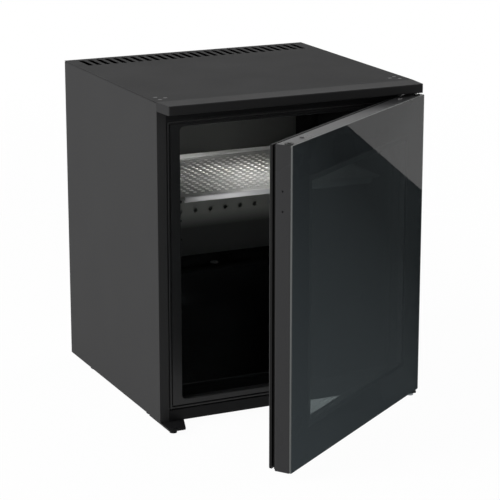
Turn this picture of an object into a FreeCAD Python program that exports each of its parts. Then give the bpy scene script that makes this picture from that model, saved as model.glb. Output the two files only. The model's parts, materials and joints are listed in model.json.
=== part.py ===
import FreeCAD, Part
import math
import os
import re

import Sketcher
from FreeCAD import Placement, Rotation, Vector

# Glass-door under-counter fridge, in millimetres.
# +Z is up, the front faces -Y, and the origin is on the floor under the middle of the cabinet.
# The door stands ajar, as stored, turned about its right-hand pivots.

SIZES = {
    # cabinet box and its sheet metal
    "cabinet_width": 490,
    "cabinet_depth": 443,
    "cabinet_height": 568,
    "foot_height": 12,
    "sheet": 0.8,
    "pan_sheet": 1.0,
    "flange_side": 17,
    "flange_low": 20,
    "flange_high": 33,
    "joggle": 5,
    "under_flange": 10,
    "rear_hem": 14,
    "top_seam": 1.2,
    "hem_drop": 8,
    "rear_drop": 20,
    "service_space": 12,
    "fit_gap": 0.3,
    "seam_gap": 0.6,
    # row of vents in the top
    "vent_count": 27,
    "vent_side": 27.4,
    "vent_width": 8,
    "vent_length": 44,
    "vent_edge": 22,
    # header moulding
    "header_overhang": 45,
    "header_height": 16,
    "header_taper": 4,
    "header_wall": 2,
    "header_round": 2,
    # opening, front frame with its grooves and bead
    "opening_side": 43,
    "opening_low": 38,
    "opening_high": 46,
    "opening_round": 8,
    "frame_recess": 0.6,
    "lip_wall": 2,
    "lip_depth": 9,
    "lip_round": 1.6,
    "groove_width": 2.4,
    "groove_depth": 3,
    "bead_width": 2.6,
    "bead_rise": 0.3,
    # liner, foam and machine bay
    "liner_wall": 2,
    "floor_front": 62,
    "floor_rise": 6,
    "step_round": 2.5,
    "rear_foam": 25,
    "bay_depth": 70,
    "machine_depth": 145,
    "machine_height": 150,
    "machine_foam": 30,
    "rib_count": 7,
    "rib_top_gap": 134.6,
    "rib_lowest": 150,
    "rib_reach": 10,
    "rib_edge": 3,
    "rib_root": 8,
    "rib_start": 14,
    "rib_stop": 24,
    # back panel of the inside, and the cold plate behind it
    "panel_stand": 14.5,
    "panel_wall": 2,
    "panel_margin": 14,
    "panel_hole_count": 11,
    "panel_hole_side": 25.3,
    "panel_hole_radius": 4.2,
    "panel_hole_height": 87.5,
    "plate_wall": 1.5,
    "plate_margin": 16,
    "channel_count": 6,
    "channel_width": 9,
    "channel_rise": 2.5,
    # ceiling unit with lamp and thermostat
    "lamp_width": 150,
    "lamp_depth": 70,
    "lamp_height": 24,
    "lamp_setback": 110,
    "lamp_draft": 6,
    "lens_width": 84,
    "lens_depth": 40,
    "lens_wall": 2.5,
    "lens_round": 0.6,
    "knob_radius": 10,
    "knob_length": 8,
    "knob_shaft": 3,
    "knob_offset": 48,
    "knob_grip": 1.6,
    # shelf
    "shelf_sheet": 1.2,
    "shelf_setback": 31,
    "shelf_rear_gap": 15.5,
    "shelf_lip": 10.5,
    "shelf_lip_roll": 7,
    "shelf_lip_inset": 20,
    "shelf_side_gap": 2,
    "shelf_rib": 7,
    "shelf_hole_radius": 4.5,
    "shelf_hole_side": 20,
    "shelf_hole_front": 27,
    "shelf_hole_rear": 48,
    "shelf_hole_columns": 13,
    "shelf_hole_rows": 8,
    # hinge plates, brackets, pins
    "plate_steel": 3,
    "hinge_width": 44,
    "hinge_tip": 30,
    "hinge_root": 52,
    "hinge_nose": 9,
    "hinge_inset": 6,
    "pin_radius": 3.5,
    "pin_reach": 13,
    "pin_collar": 5.5,
    "pin_collar_height": 1.2,
    "pin_nut": 6.5,
    "pin_nut_height": 4.5,
    "bush_wall": 1.6,
    "bush_length": 16,
    "bush_flange": 1,
    "bush_flange_rim": 2.5,
    "running_gap": 0.05,
    "pin_way": 0.4,
    "screw_radius": 2,
    "screw_head": 3.8,
    "screw_head_height": 1.3,
    "screw_tail": 2,
    "dimple_rim": 1.6,
    "top_screw_side": 15,
    "top_screw_front": 20,
    "top_screw_pitch": 21,
    "top_screw_inboard": 14,
    "low_screw_back": 20,
    "low_screw_pitch": 22,
    # feet
    "foot_radius": 10.5,
    "foot_taper": 1.5,
    "foot_inset": 20,
    "foot_front": 85,
    "foot_rear": 80,
    # door
    "door_ajar": 35.5,
    "door_inset": 1,
    "door_gap_low": 2.5,
    "door_gap_high": 4.5,
    "door_ahead": 44,
    "door_depth": 31,
    "pivot_inset": 10,
    "pivot_setback": 11.5,
    "glass": 4,
    "glass_bevel": 0.6,
    "stile": 60,
    "profile_wall": 2.2,
    "door_round": 2,
    "key_leg": 78,
    "key_gap": 0.25,
    "pane": 4,
    "spacer_depth": 10,
    "spacer_width": 9,
    "pane_gap": 0.8,
    "glazing_lip": 7,
    "glazing_depth": 7,
    "glazing_round": 2.3,
    "gasket_inset": 2,
    "gasket_width": 17,
    "gasket_depth": 12.3,
    "gasket_wall": 1.6,
    "gasket_neck": 4,
    "gasket_round": 3.5,
    "magnet_depth": 3.2,
    "door_screw_along": 63,
    "side_hole_radius": 1.6,
    "side_hole_depth": 1.8,
    "side_hole_drop": 75,
    "side_hole_pitch": 33,
    # refrigeration unit in the bay
    "compressor_radius": 56,
    "compressor_height": 96,
    "compressor_dome": 26,
    "compressor_seam": 3,
    "compressor_seam_height": 5,
    "compressor_shift": 40,
    "compressor_wall_gap": 14,
    "mount_plate": 2.5,
    "mount_width": 150,
    "mount_depth": 92,
    "mount_inset": 13,
    "grommet_radius": 9,
    "grommet_height": 12,
    "grommet_bore": 4,
    "grommet_rim": 6,
    "cover_width": 46,
    "cover_depth": 26,
    "cover_round": 3,
    "tube_radius": 2.5,
    "tube_bend": 14,
    "coil_passes": 8,
    "coil_top_gap": 104,
    "coil_side": 32,
    "coil_low": 172,
    "coil_behind": 16,
    "coil_tail": 40,
    "wire_radius": 0.9,
    "wire_count": 12,
    "bracket_width": 14,
    "bracket_height": 18,
    "bracket_side": 110,
    "dryer_radius": 9,
    "dryer_length": 74,
    "dryer_cone": 10,
    "capillary_radius": 1.1,
    "suction_radius": 3.2,
    "port_inset": 30.3,
    "port_height": 42,
    "port_radius": 9,
    "port_spread": 5,
    "stub_spread": 15,
    "stub_back": 18,
    "drain_side": 0,
    "drain_radius": 5,
    "drain_bore": 3.6,
    "drain_rim": 8,
    "drain_drop": 16,
    "tray_width": 150,
    "tray_depth": 66,
    "tray_height": 13,
    "tray_wall": 1.5,
    "tray_round": 4,
    "control_width": 88,
    "control_depth": 70,
    "control_height": 92,
    "control_side": 30,
    "control_back": 16,
    "inlet_width": 30,
    "inlet_height": 22,
    "inlet_flange": 6,
    "inlet_flange_wall": 2.4,
    "inlet_socket": 14,
    "inlet_wall": 2,
    "inlet_bevel": 5.5,
    "inlet_pin": 1.4,
    "inlet_pin_tall": 2.8,
    "inlet_pin_rise": 4.4,
    "inlet_pin_spread": 7,
    "overrun": 2,
}

# Places worked out from the sizes, as expressions that the model's objects are bound to.
PLACES = {
    "side_x": "cabinet_width / 2",
    "front_y": "-cabinet_depth / 2",
    "back_y": "cabinet_depth / 2",
    "base_z": "foot_height",
    "top_z": "(foot_height + cabinet_height)",
    "frame_x": "(side_x - flange_side - seam_gap)",
    "frame_low": "(base_z + flange_low + seam_gap)",
    "frame_high": "(top_z - flange_high - seam_gap)",
    "open_x": "(side_x - opening_side)",
    "open_low": "(base_z + opening_low)",
    "open_high": "(top_z - opening_high)",
    "liner_x": "(open_x + lip_wall + fit_gap)",
    "liner_front": "(front_y + joggle + sheet)",
    "flange_x": "(side_x - flange_side - under_flange / 2)",
    "flange_bottom": "(base_z + flange_low + under_flange / 2)",
    "flange_top": "(top_z - flange_high - under_flange / 2)",
    "floor_low": "(open_low - lip_wall - fit_gap)",
    "floor_z": "(floor_low + floor_rise)",
    "ceiling_z": "(open_high + lip_wall + fit_gap)",
    "floor_step": "(front_y + floor_front)",
    "bay_y": "(back_y - bay_depth)",
    "machine_y": "(back_y - machine_depth)",
    "machine_z": "(base_z + machine_height)",
    "wall_y": "(bay_y - rear_foam - liner_wall)",
    "hump_y": "(machine_y - machine_foam - liner_wall)",
    "hump_z": "(machine_z + sheet + machine_foam + liner_wall)",
    "foam_top": "(top_z - service_space)",
    "rib_z": "(floor_z + rib_lowest)",
    "shelf_z": "(ceiling_z - rib_top_gap)",
    "shelf_front": "(front_y + shelf_setback)",
    "panel_y": "(wall_y - panel_stand)",
    "shelf_rear": "(panel_y - shelf_rear_gap)",
    "panel_low": "(hump_z + panel_margin)",
    "panel_high": "(ceiling_z - panel_margin)",
    "panel_x": "(liner_x - rib_reach - panel_margin)",
    "port_side": "(panel_x - port_inset)",
    "port_z": "(panel_low + port_height)",
    "lamp_front": "(front_y + lamp_setback)",
    "lens_y": "(lamp_front + lamp_depth / 2)",
    "knob_z": "(ceiling_z - lamp_height / 2)",
    "shelf_x": "(open_x - shelf_side_gap)",
    "hinge_high": "(top_z - header_wall - fit_gap)",
    "hinge_low": "(hinge_high - plate_steel)",
    "pivot_x": "(side_x - door_inset - pivot_inset)",
    "pivot_y": "(front_y - door_ahead + pivot_setback)",
    "door_right": "pivot_inset",
    "door_left": "(pivot_inset + 2 * door_inset - cabinet_width)",
    "door_front": "(-pivot_setback)",
    "glass_back": "(glass - pivot_setback)",
    "door_back": "(door_depth - pivot_setback)",
    "door_low": "(base_z + door_gap_low)",
    "door_high": "(top_z - header_height - door_gap_high)",
    "spare_x": "(door_left + pivot_inset)",
    "member_y": "((glass_back + door_back) / 2)",
    "pane_back": "(glass_back + spacer_depth + pane)",
    "bush_radius": "(pin_radius + running_gap + bush_wall)",
    "coil_y": "(back_y - coil_behind)",
    "coil_x": "(side_x - coil_side)",
    "coil_bottom": "(base_z + coil_low)",
    "coil_top": "(foam_top - coil_top_gap)",
    "coil_pitch": "((coil_top - coil_bottom) / (coil_passes - 1))",
    "mount_z": "(base_z + pan_sheet + grommet_height)",
    "shell_z": "(mount_z + mount_plate)",
    "compressor_y": "(machine_y + sheet + compressor_wall_gap + compressor_radius)",
    "compressor_x": "(-compressor_shift)",
    "coil_joint_x": "(2 * tube_bend - coil_x)",
    "line_y": "(compressor_y + stub_back)",
    "drain_y": "(machine_y + drain_drop)",
}

doc = FreeCAD.newDocument("glass_door_fridge")
sheet = doc.addObject("Spreadsheet::Sheet", "sizes")
for row, (name, value) in enumerate(SIZES.items(), start=1):
    sheet.set(f"A{row}", name)
    sheet.set(f"B{row}", str(value))
    sheet.setAlias(f"B{row}", name)
doc.recompute()

WORD = re.compile(r"[a-z_]+")
AXIS_PLANES = {"X": "YZ_Plane", "Y": "XZ_Plane", "Z": "XY_Plane"}
PARTS = []
QUARTER_TURN = "90"
ALIGNED = 1e-6
SAME_LEVEL = 1e-3


def bound(text):
    """Expression over the sheet's cells for a text written in names of sizes and places."""

    def cell(match):
        word = match.group()
        if word in PLACES:
            return f"({bound(PLACES[word])})"
        return f"sizes.{word}" if word in SIZES else word

    return WORD.sub(cell, text)


def measure(text):
    """Value of such a text, in millimetres, degrees or a count."""
    return float(sheet.evalExpression(bound(text)))


def spot(x, y, z):
    """Point given by three texts."""
    return Vector(measure(x), measure(y), measure(z))


def keep(piece, label):
    """Name a finished sub-part and list it for writing."""
    piece.Label = label
    PARTS.append(piece)
    return piece


def new_body(label):
    body = doc.addObject("PartDesign::Body", label)
    body.AllowCompound = True
    return keep(body, label)


def new_sketch(body, axis, offset):
    """Sketch square to an axis of the part, moved along it by the offset."""
    sketch = body.newObject("Sketcher::SketchObject", body.Name + "_sketch")
    role = AXIS_PLANES[axis]
    base = next(item for item in body.Origin.OriginFeatures if item.Role == role)
    sketch.AttachmentSupport = [(base, "")]
    sketch.MapMode = "FlatFace"
    sketch.setExpression("AttachmentOffset.Base.z", bound(offset))
    return sketch


def pin_point(sketch, item, point, u, v):
    """Hold one point of a sketch at a place given by two texts."""
    for kind, text in (("DistanceX", u), ("DistanceY", v)):
        index = sketch.addConstraint(Sketcher.Constraint(kind, -1, 1, item, point, measure(text)))
        sketch.setExpression(f"Constraints[{index}]", bound(text))


def hold_radius(sketch, item, radius):
    index = sketch.addConstraint(Sketcher.Constraint("Radius", item, measure(radius)))
    sketch.setExpression(f"Constraints[{index}]", bound(radius))


def draw_outline(sketch, points):
    """Closed outline through points that are pairs of texts."""
    spots = [Vector(measure(u), measure(v), 0) for u, v in points]
    first = sketch.GeometryCount
    count = len(points)
    for index in range(count):
        sketch.addGeometry(Part.LineSegment(spots[index], spots[(index + 1) % count]))
    for index, (u, v) in enumerate(points):
        following = first + (index + 1) % count
        sketch.addConstraint(Sketcher.Constraint("Coincident", first + index, 2, following, 1))
        pin_point(sketch, first + index, 1, u, v)


def draw_circle(sketch, u, v, radius):
    centre = Vector(measure(u), measure(v), 0)
    item = sketch.addGeometry(Part.Circle(centre, Vector(0, 0, 1), measure(radius)))
    hold_radius(sketch, item, radius)
    pin_point(sketch, item, 3, u, v)


def draw_slot(sketch, u, low, high, radius):
    """Slot with round ends, upright in the sketch, between the centres of its two ends."""
    x, bottom, top, r = measure(u), measure(low), measure(high), measure(radius)
    ends = ((top, 0, math.pi, high), (bottom, math.pi, 2 * math.pi, low))
    arcs = []
    for level, start, stop, text in ends:
        circle = Part.Circle(Vector(x, level, 0), Vector(0, 0, 1), r)
        arc = sketch.addGeometry(Part.ArcOfCircle(circle, start, stop))
        pin_point(sketch, arc, 3, u, text)
        arcs.append(arc)
    for side, end_point, start_point in ((-r, 2, 1), (r, 1, 2)):
        line = sketch.addGeometry(Part.LineSegment(Vector(x + side, top, 0), Vector(x + side, bottom, 0)))
        sketch.addConstraint(Sketcher.Constraint("Tangent", line, 1, arcs[0], end_point))
        sketch.addConstraint(Sketcher.Constraint("Tangent", line, 2, arcs[1], start_point))
    hold_radius(sketch, arcs[0], radius)


def draw(sketch, shape):
    """Draw an outline, a circle (u, v, radius) or a slot (u, low, high, radius)."""
    if isinstance(shape, list):
        draw_outline(sketch, shape)
    elif len(shape) == 3:
        draw_circle(sketch, *shape)
    else:
        draw_slot(sketch, *shape)


def block(u0, u1, v0, v1):
    """Rectangle between two levels each way."""
    return [(u0, v0), (u1, v0), (u1, v1), (u0, v1)]


def centred(u, half_u, v, half_v):
    """Rectangle about a middle point."""
    return block(f"{u} - {half_u}", f"{u} + {half_u}", f"{v} - {half_v}", f"{v} + {half_v}")


def extrude(body, kind, axis, low, high, shapes):
    """Add or take away a prism along an axis between two levels."""
    offset = f"-({high})" if axis == "Y" else low
    sketch = new_sketch(body, axis, offset)
    for shape in shapes:
        draw(sketch, shape)
    before = body.Shape.Volume if body.Tip else 0.0
    feature = body.newObject(f"PartDesign::{kind}", f"{body.Name}_{kind.lower()}")
    feature.Profile = sketch
    feature.setExpression("Length", bound(f"({high}) - ({low})"))
    feature.Reversed = kind == "Pocket"
    doc.recompute()
    grew = body.Shape.Volume > before
    if grew == (kind == "Pocket") or body.Shape.Volume == before:
        raise RuntimeError(f"{body.Label}: a {kind} changed nothing")
    return feature


def pad(body, axis, low, high, *shapes):
    return extrude(body, "Pad", axis, low, high, shapes)


def pocket(body, axis, low, high, *shapes):
    return extrude(body, "Pocket", axis, low, high, shapes)


def repeat(body, feature, axis_name, length, count):
    """Row of copies of a feature along an axis of its sketch."""
    row = body.newObject("PartDesign::LinearPattern", body.Name + "_row")
    row.Originals = [feature]
    row.Direction = (feature.Profile[0], [axis_name])
    row.setExpression("Length", bound(length))
    row.setExpression("Occurrences", bound(count))
    body.Tip = row
    doc.recompute()
    return row


def soften(body, radius, chosen, kind="Fillet"):
    """Round or bevel the edges of the body's tip that the test picks."""
    tip = body.Tip
    names = [f"Edge{i}" for i, edge in enumerate(tip.Shape.Edges, start=1) if chosen(edge)]
    if not names:
        raise RuntimeError(f"{body.Label}: no edge to soften")
    feature = body.newObject(f"PartDesign::{kind}", f"{body.Name}_{kind.lower()}")
    feature.Base = (tip, names)
    feature.setExpression("Radius" if kind == "Fillet" else "Size", bound(radius))
    doc.recompute()
    return feature


def runs_along(edge, axis):
    """True for a straight edge along an axis."""
    if not isinstance(edge.Curve, Part.Line):
        return False
    return abs(abs(getattr(edge.Curve.Direction, axis)) - 1) < ALIGNED


def lies_at(edge, **levels):
    """True where an edge's middle has the given levels, such as y='front_y'."""
    middle = edge.BoundBox.Center
    return all(abs(getattr(middle, axis) - measure(text)) < SAME_LEVEL for axis, text in levels.items())


def revolve(label, points):
    """Turned piece: a half outline of (radius, height) pairs spun about the part's Z."""
    body = new_body(label)
    sketch = new_sketch(body, "Y", "0")
    draw_outline(sketch, points)
    feature = body.newObject("PartDesign::Revolution", label + "_turn")
    feature.Profile = sketch
    feature.ReferenceAxis = (sketch, ["V_Axis"])
    doc.recompute()
    return body


def place(piece, x="0", y="0", z="0", axis=Vector(0, 0, 1), turn="0"):
    """Bind a piece's place, and its turn about an axis."""
    piece.Placement = Placement(Vector(), Rotation(axis, 1))
    for name, text in (("Base.x", x), ("Base.y", y), ("Base.z", z), ("Rotation.Angle", turn)):
        piece.setExpression(f"Placement.{name}", bound(text))
    doc.recompute()
    return piece


def swing(piece):
    """Carry a piece drawn about the pivot to the door's stored, open place."""
    return place(piece, "pivot_x", "pivot_y", turn="door_ajar")


def disc(centre, heading, radius):
    return Part.Face(Part.Wire(Part.Circle(centre, heading, radius).toShape()))


def tube_solid(route, radius, bend):
    """Round tube: straight runs through the points, with an elbow of the bend radius at each corner."""
    runs = []
    start = route[0]
    for before, corner, after in zip(route, route[1:], route[2:]):
        into = (corner - before).normalize()
        out = (after - corner).normalize()
        turn = into.getAngle(out)
        reach = bend * math.tan(turn / 2)
        enter = corner - into * reach
        axis = into.cross(out).normalize()
        centre = enter + axis.cross(into) * bend
        runs.append(disc(start, into, radius).extrude(enter - start))
        runs.append(disc(enter, into, radius).revolve(centre, axis, math.degrees(turn)))
        start = corner + out * reach
    last = route[-1] - start
    runs.append(disc(start, last, radius).extrude(last))
    whole = runs[0].fuse(runs[1:]).removeSplitter()
    if len(whole.Solids) != 1:
        raise RuntimeError("a tube is not in one piece")
    return whole.Solids[0]


def shaped(label, shape):
    """Sub-part whose shape is worked out here from the sheet's sizes."""
    piece = doc.addObject("Part::Feature", label)
    piece.Shape = shape
    return keep(piece, label)


def tube(label, route, radius, bend="tube_bend"):
    return shaped(label, tube_solid([spot(*point) for point in route], measure(radius), measure(bend)))


# Cabinet sheet metal


def side_panel(label, side):
    """Side sheet: front edge folded in and joggled, rear hem; side is -1 on the left, 1 on the right."""
    edge = f"{side} * side_x"
    inward = -side
    profile = [
        (edge, "front_y"),
        (f"{edge} + {inward} * flange_side", "front_y"),
        (f"{edge} + {inward} * flange_side", "front_y + joggle"),
        (f"{edge} + {inward} * (flange_side + under_flange)", "front_y + joggle"),
        (f"{edge} + {inward} * (flange_side + under_flange)", "front_y + joggle + sheet"),
        (f"{edge} + {inward} * (flange_side - sheet)", "front_y + joggle + sheet"),
        (f"{edge} + {inward} * (flange_side - sheet)", "front_y + sheet"),
        (f"{edge} + {inward} * sheet", "front_y + sheet"),
        (f"{edge} + {inward} * sheet", "back_y - sheet"),
        (f"{edge} + {inward} * rear_hem", "back_y - sheet"),
        (f"{edge} + {inward} * rear_hem", "back_y"),
        (edge, "back_y"),
    ]
    body = new_body(label)
    pad(body, "Z", "base_z", "top_z - sheet - top_seam", profile)
    soften(body, "sheet", lambda e: runs_along(e, "z") and lies_at(e, x=edge))
    notch = block(
        f"{edge} + {inward} * (hinge_inset - fit_gap)",
        f"{edge} + {inward} * (flange_side + under_flange + overrun)",
        "front_y - overrun",
        "liner_front + overrun",
    )
    pocket(body, "Z", "hinge_low - fit_gap", "top_z", notch)
    return body


side_panel("side_panel_left", -1)
side_panel("side_panel_right", 1)


def top_screw_spots(side):
    """Three screws near a front corner of the top, two along the side and one inboard."""
    outer = f"{side} * (side_x - top_screw_side)"
    inner = f"{side} * (side_x - top_screw_side - top_screw_inboard)"
    front = "front_y + top_screw_front"
    return [(outer, front), (outer, f"{front} + top_screw_pitch"), (inner, f"{front} + top_screw_pitch / 2")]


def top_panel():
    body = new_body("top_panel")
    pad(body, "Z", "top_z - sheet", "top_z", block("-side_x", "side_x", "front_y", "back_y"))
    hem = "(side_x - sheet - fit_gap)"
    rear = "(back_y - sheet - fit_gap)"
    hems = [
        ("front_y + flange_side", f"{hem} - sheet", hem),
        ("front_y + flange_side", f"-{hem}", f"-{hem} + sheet"),
    ]
    for front, inner, outer in hems:
        pad(body, "Z", "top_z - sheet - hem_drop", "top_z - sheet", block(inner, outer, front, rear))
    apron = block(f"-{hem} + sheet", f"{hem} - sheet", f"{rear} - sheet", rear)
    pad(body, "Z", "top_z - sheet - rear_drop", "top_z - sheet", apron)
    spots = top_screw_spots(-1) + top_screw_spots(1)
    dimple = "(screw_head + dimple_rim)"
    pad(body, "Z", "hinge_high", "top_z - sheet", *[(x, y, dimple) for x, y in spots])
    cups = [(x, y, f"{dimple} - sheet") for x, y in spots]
    pocket(body, "Z", "hinge_high + sheet", "top_z + overrun", *cups)
    holes = [(x, y, "screw_radius + fit_gap") for x, y in spots]
    pocket(body, "Z", "hinge_high - overrun", "top_z + overrun", *holes)
    first = "(vent_side - side_x)"
    low = "back_y - vent_edge - vent_length + vent_width / 2"
    high = "back_y - vent_edge - vent_width / 2"
    slot = (first, low, high, "vent_width / 2")
    vent = pocket(body, "Z", "top_z - sheet - overrun", "top_z + overrun", slot)
    repeat(body, vent, "H_Axis", f"-2 * {first}", "vent_count")
    return body


top_panel()


def front_top_rail():
    """Strip across the front under the header, with a top return that the hinge plates sit on."""
    high = "hinge_low"
    low = "(top_z - flange_high)"
    profile = [
        ("front_y", low),
        ("front_y + joggle", low),
        ("front_y + joggle", f"{low} - under_flange"),
        ("front_y + joggle + sheet", f"{low} - under_flange"),
        ("front_y + joggle + sheet", f"{low} + sheet"),
        ("front_y + sheet", f"{low} + sheet"),
        ("front_y + sheet", f"{high} - sheet"),
        ("front_y + hinge_root", f"{high} - sheet"),
        ("front_y + hinge_root", high),
        ("front_y", high),
    ]
    body = new_body("front_top_rail")
    reach = "(side_x - flange_side - under_flange - fit_gap)"
    pad(body, "X", f"-{reach}", reach, profile)
    ends = "(side_x - flange_side - fit_gap)"
    for inner, outer in ((f"-{ends}", f"-{reach}"), (reach, ends)):
        pad(body, "X", inner, outer, block("front_y", "front_y + sheet", low, high))
    returns = "(side_x - sheet - fit_gap - sheet - fit_gap)"
    for inner, outer in ((f"-{returns}", f"-{reach}"), (reach, returns)):
        back = block("front_y + joggle + sheet + fit_gap", "front_y + hinge_root", f"{high} - sheet", high)
        pad(body, "X", inner, outer, back)
    holes = [(x, y, "screw_radius + running_gap") for side in (-1, 1) for x, y in top_screw_spots(side)]
    pocket(body, "Z", f"{high} - sheet - overrun", f"{high} + overrun", *holes)
    return body


front_top_rail()


def low_screw_spots(side):
    x = f"{side} * (side_x - door_inset - hinge_width / 2)"
    return [(x, "front_y + low_screw_back"), (x, "front_y + low_screw_back + low_screw_pitch")]


def base_pan():
    body = new_body("base_pan")
    wide = "(side_x - sheet - fit_gap)"
    front = "(front_y + joggle + sheet + fit_gap)"
    rear = "(back_y - sheet - fit_gap)"
    pad(body, "Z", "base_z", "base_z + pan_sheet", block(f"-{wide}", wide, front, rear))
    high = "(base_z + flange_low)"
    profile = [
        ("front_y", "base_z"),
        (front, "base_z"),
        (front, "base_z + pan_sheet"),
        ("front_y + pan_sheet", "base_z + pan_sheet"),
        ("front_y + pan_sheet", f"{high} - sheet"),
        ("front_y + joggle + sheet", f"{high} - sheet"),
        ("front_y + joggle + sheet", f"{high} + under_flange"),
        ("front_y + joggle", f"{high} + under_flange"),
        ("front_y + joggle", high),
        ("front_y", high),
    ]
    reach = "(side_x - flange_side - under_flange - fit_gap)"
    pad(body, "X", f"-{reach}", reach, profile)
    ends = "(side_x - flange_side - fit_gap)"
    for inner, outer in ((f"-{ends}", f"-{reach}"), (reach, ends)):
        pad(body, "X", inner, outer, block("front_y", "front_y + pan_sheet", "base_z", high))
    lip = block(f"{rear} - pan_sheet", rear, "base_z + pan_sheet", "base_z + pan_sheet + hem_drop")
    pad(body, "X", "-(side_x - rear_hem)", "side_x - rear_hem", lip)
    holes = [(x, y, "screw_radius + running_gap") for side in (-1, 1) for x, y in low_screw_spots(side)]
    pocket(body, "Z", "base_z - overrun", "base_z + pan_sheet + overrun", *holes)
    return body


base_pan()

PORT_SPOTS = [("port_side", "port_z", "port_radius")]
DRAIN_SPOT = ("drain_side", "drain_y", "drain_radius + fit_gap")


def rear_partition():
    """Folded sheet that backs the foam, roofs the machine space and drops to the base pan."""
    profile = [
        ("bay_y", "foam_top"),
        ("bay_y", "machine_z + sheet"),
        ("machine_y", "machine_z + sheet"),
        ("machine_y", "base_z + pan_sheet"),
        ("machine_y + sheet", "base_z + pan_sheet"),
        ("machine_y + sheet", "machine_z"),
        ("bay_y + sheet", "machine_z"),
        ("bay_y + sheet", "foam_top"),
    ]
    body = new_body("rear_partition")
    pad(body, "X", "-(side_x - sheet - fit_gap)", "side_x - sheet - fit_gap", profile)
    pocket(body, "Y", "bay_y - overrun", "bay_y + sheet + overrun", *PORT_SPOTS)
    pocket(body, "Z", "machine_z - overrun", "machine_z + sheet + overrun", DRAIN_SPOT)
    return body


rear_partition()


def liner_outline(wall):
    """Side outline of the tub's inside, or of its outside with a wall added all round."""
    return [
        ("liner_front", f"floor_low - {wall}"),
        (f"floor_step + {wall}", f"floor_low - {wall}"),
        (f"floor_step + {wall}", f"floor_z - {wall}"),
        (f"hump_y + {wall}", f"floor_z - {wall}"),
        (f"hump_y + {wall}", f"hump_z - {wall}"),
        (f"wall_y + {wall}", f"hump_z - {wall}"),
        (f"wall_y + {wall}", f"ceiling_z + {wall}"),
        ("liner_front", f"ceiling_z + {wall}"),
    ]


def insulation():
    """Foam between the tub and the steel, cut away behind for the machine space."""
    start = "liner_front + liner_wall"
    profile = [
        (start, "base_z + pan_sheet"),
        ("machine_y", "base_z + pan_sheet"),
        ("machine_y", "machine_z + sheet"),
        ("bay_y", "machine_z + sheet"),
        ("bay_y", "foam_top"),
        (start, "foam_top"),
    ]
    body = new_body("insulation")
    pad(body, "X", "-(side_x - sheet)", "side_x - sheet", profile)
    tub = [(start, "floor_low - liner_wall")] + liner_outline("liner_wall")[1:-1]
    tub.append((start, "ceiling_z + liner_wall"))
    pocket(body, "X", "-(liner_x + liner_wall)", "liner_x + liner_wall", tub)
    pocket(body, "Y", "wall_y", "bay_y + overrun", *PORT_SPOTS)
    pocket(body, "Z", "machine_z", "hump_z", DRAIN_SPOT)
    return body


insulation()


def inner_liner():
    """Formed tub with an outward front flange, shelf ribs on both sides and a hump at the rear."""
    body = new_body("inner_liner")
    outer = "(liner_x + liner_wall)"
    pad(body, "X", f"-{outer}", outer, liner_outline("liner_wall"))
    pocket(body, "X", "-liner_x", "liner_x", liner_outline("0"))
    soften(body, "step_round", lambda e: runs_along(e, "x") and lies_at(e, y="floor_step", z="floor_z"))
    ring = [
        block("-flange_x", "flange_x", "flange_bottom", "flange_top"),
        block(f"-{outer}", outer, "floor_low - liner_wall", "ceiling_z + liner_wall"),
    ]
    pad(body, "Y", "liner_front", "liner_front + liner_wall", *ring)
    ribs = []
    for side in (-1, 1):
        root = f"{side} * liner_x"
        tip = f"{side} * (liner_x - rib_reach)"
        ribs.append([(root, "rib_z"), (tip, "rib_z"), (tip, "rib_z - rib_edge"), (root, "rib_z - rib_root")])
    rib = pad(body, "Y", "front_y + rib_start", "wall_y - rib_stop", *ribs)
    repeat(body, rib, "V_Axis", "shelf_z - rib_z", "rib_count")
    pocket(body, "Y", "wall_y - overrun", "wall_y + liner_wall + overrun", *PORT_SPOTS)
    pocket(body, "Z", "hump_z - liner_wall - overrun", "hump_z + overrun", DRAIN_SPOT)
    return body


inner_liner()


def ring_loops(outer, inner):
    """Loops of a ring between two rectangles, each (half width, low, high)."""
    return [block(f"-({x})", x, bottom, top) for x, bottom, top in (outer, inner)]


def frame_border(inset):
    """The front frame's outer border moved inwards, as (half width, low, high)."""
    return f"frame_x - ({inset})", f"frame_low + ({inset})", f"frame_high - ({inset})"


def on_opening(edge):
    """True for an edge along the opening, its rounded corners included."""
    middle = edge.BoundBox.Center
    reach = measure("open_x") + SAME_LEVEL
    low = measure("open_low") - SAME_LEVEL
    high = measure("open_high") + SAME_LEVEL
    return abs(middle.x) < reach and low < middle.z < high


def front_frame():
    """Frame round the opening: a face strip, a bead between two grooves and a lip over the tub's edge."""
    body = new_body("front_frame")
    face = "front_y + frame_recess"
    opening = ("open_x", "open_low", "open_high")
    pad(body, "Y", face, "front_y + joggle", *ring_loops(frame_border("0"), opening))
    lip = ("open_x + lip_wall", "open_low - lip_wall", "open_high + lip_wall")
    pad(body, "Y", "front_y + joggle", "front_y + joggle + lip_depth", *ring_loops(lip, opening))
    corner = lambda e: runs_along(e, "y") and abs(abs(e.BoundBox.Center.x) - measure("open_x")) < SAME_LEVEL
    soften(body, "opening_round", corner)
    soften(body, "lip_round", lambda e: lies_at(e, y=face) and on_opening(e))
    bead = frame_border("groove_width")
    bead_inside = frame_border("groove_width + bead_width")
    pad(body, "Y", f"{face} - bead_rise", face, *ring_loops(bead, bead_inside))
    inner_groove = ring_loops(bead_inside, frame_border("2 * groove_width + bead_width"))
    for groove in (ring_loops(frame_border("-overrun"), bead), inner_groove):
        pocket(body, "Y", f"{face} - overrun", f"{face} + groove_depth", *groove)
    return body


front_frame()


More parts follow.
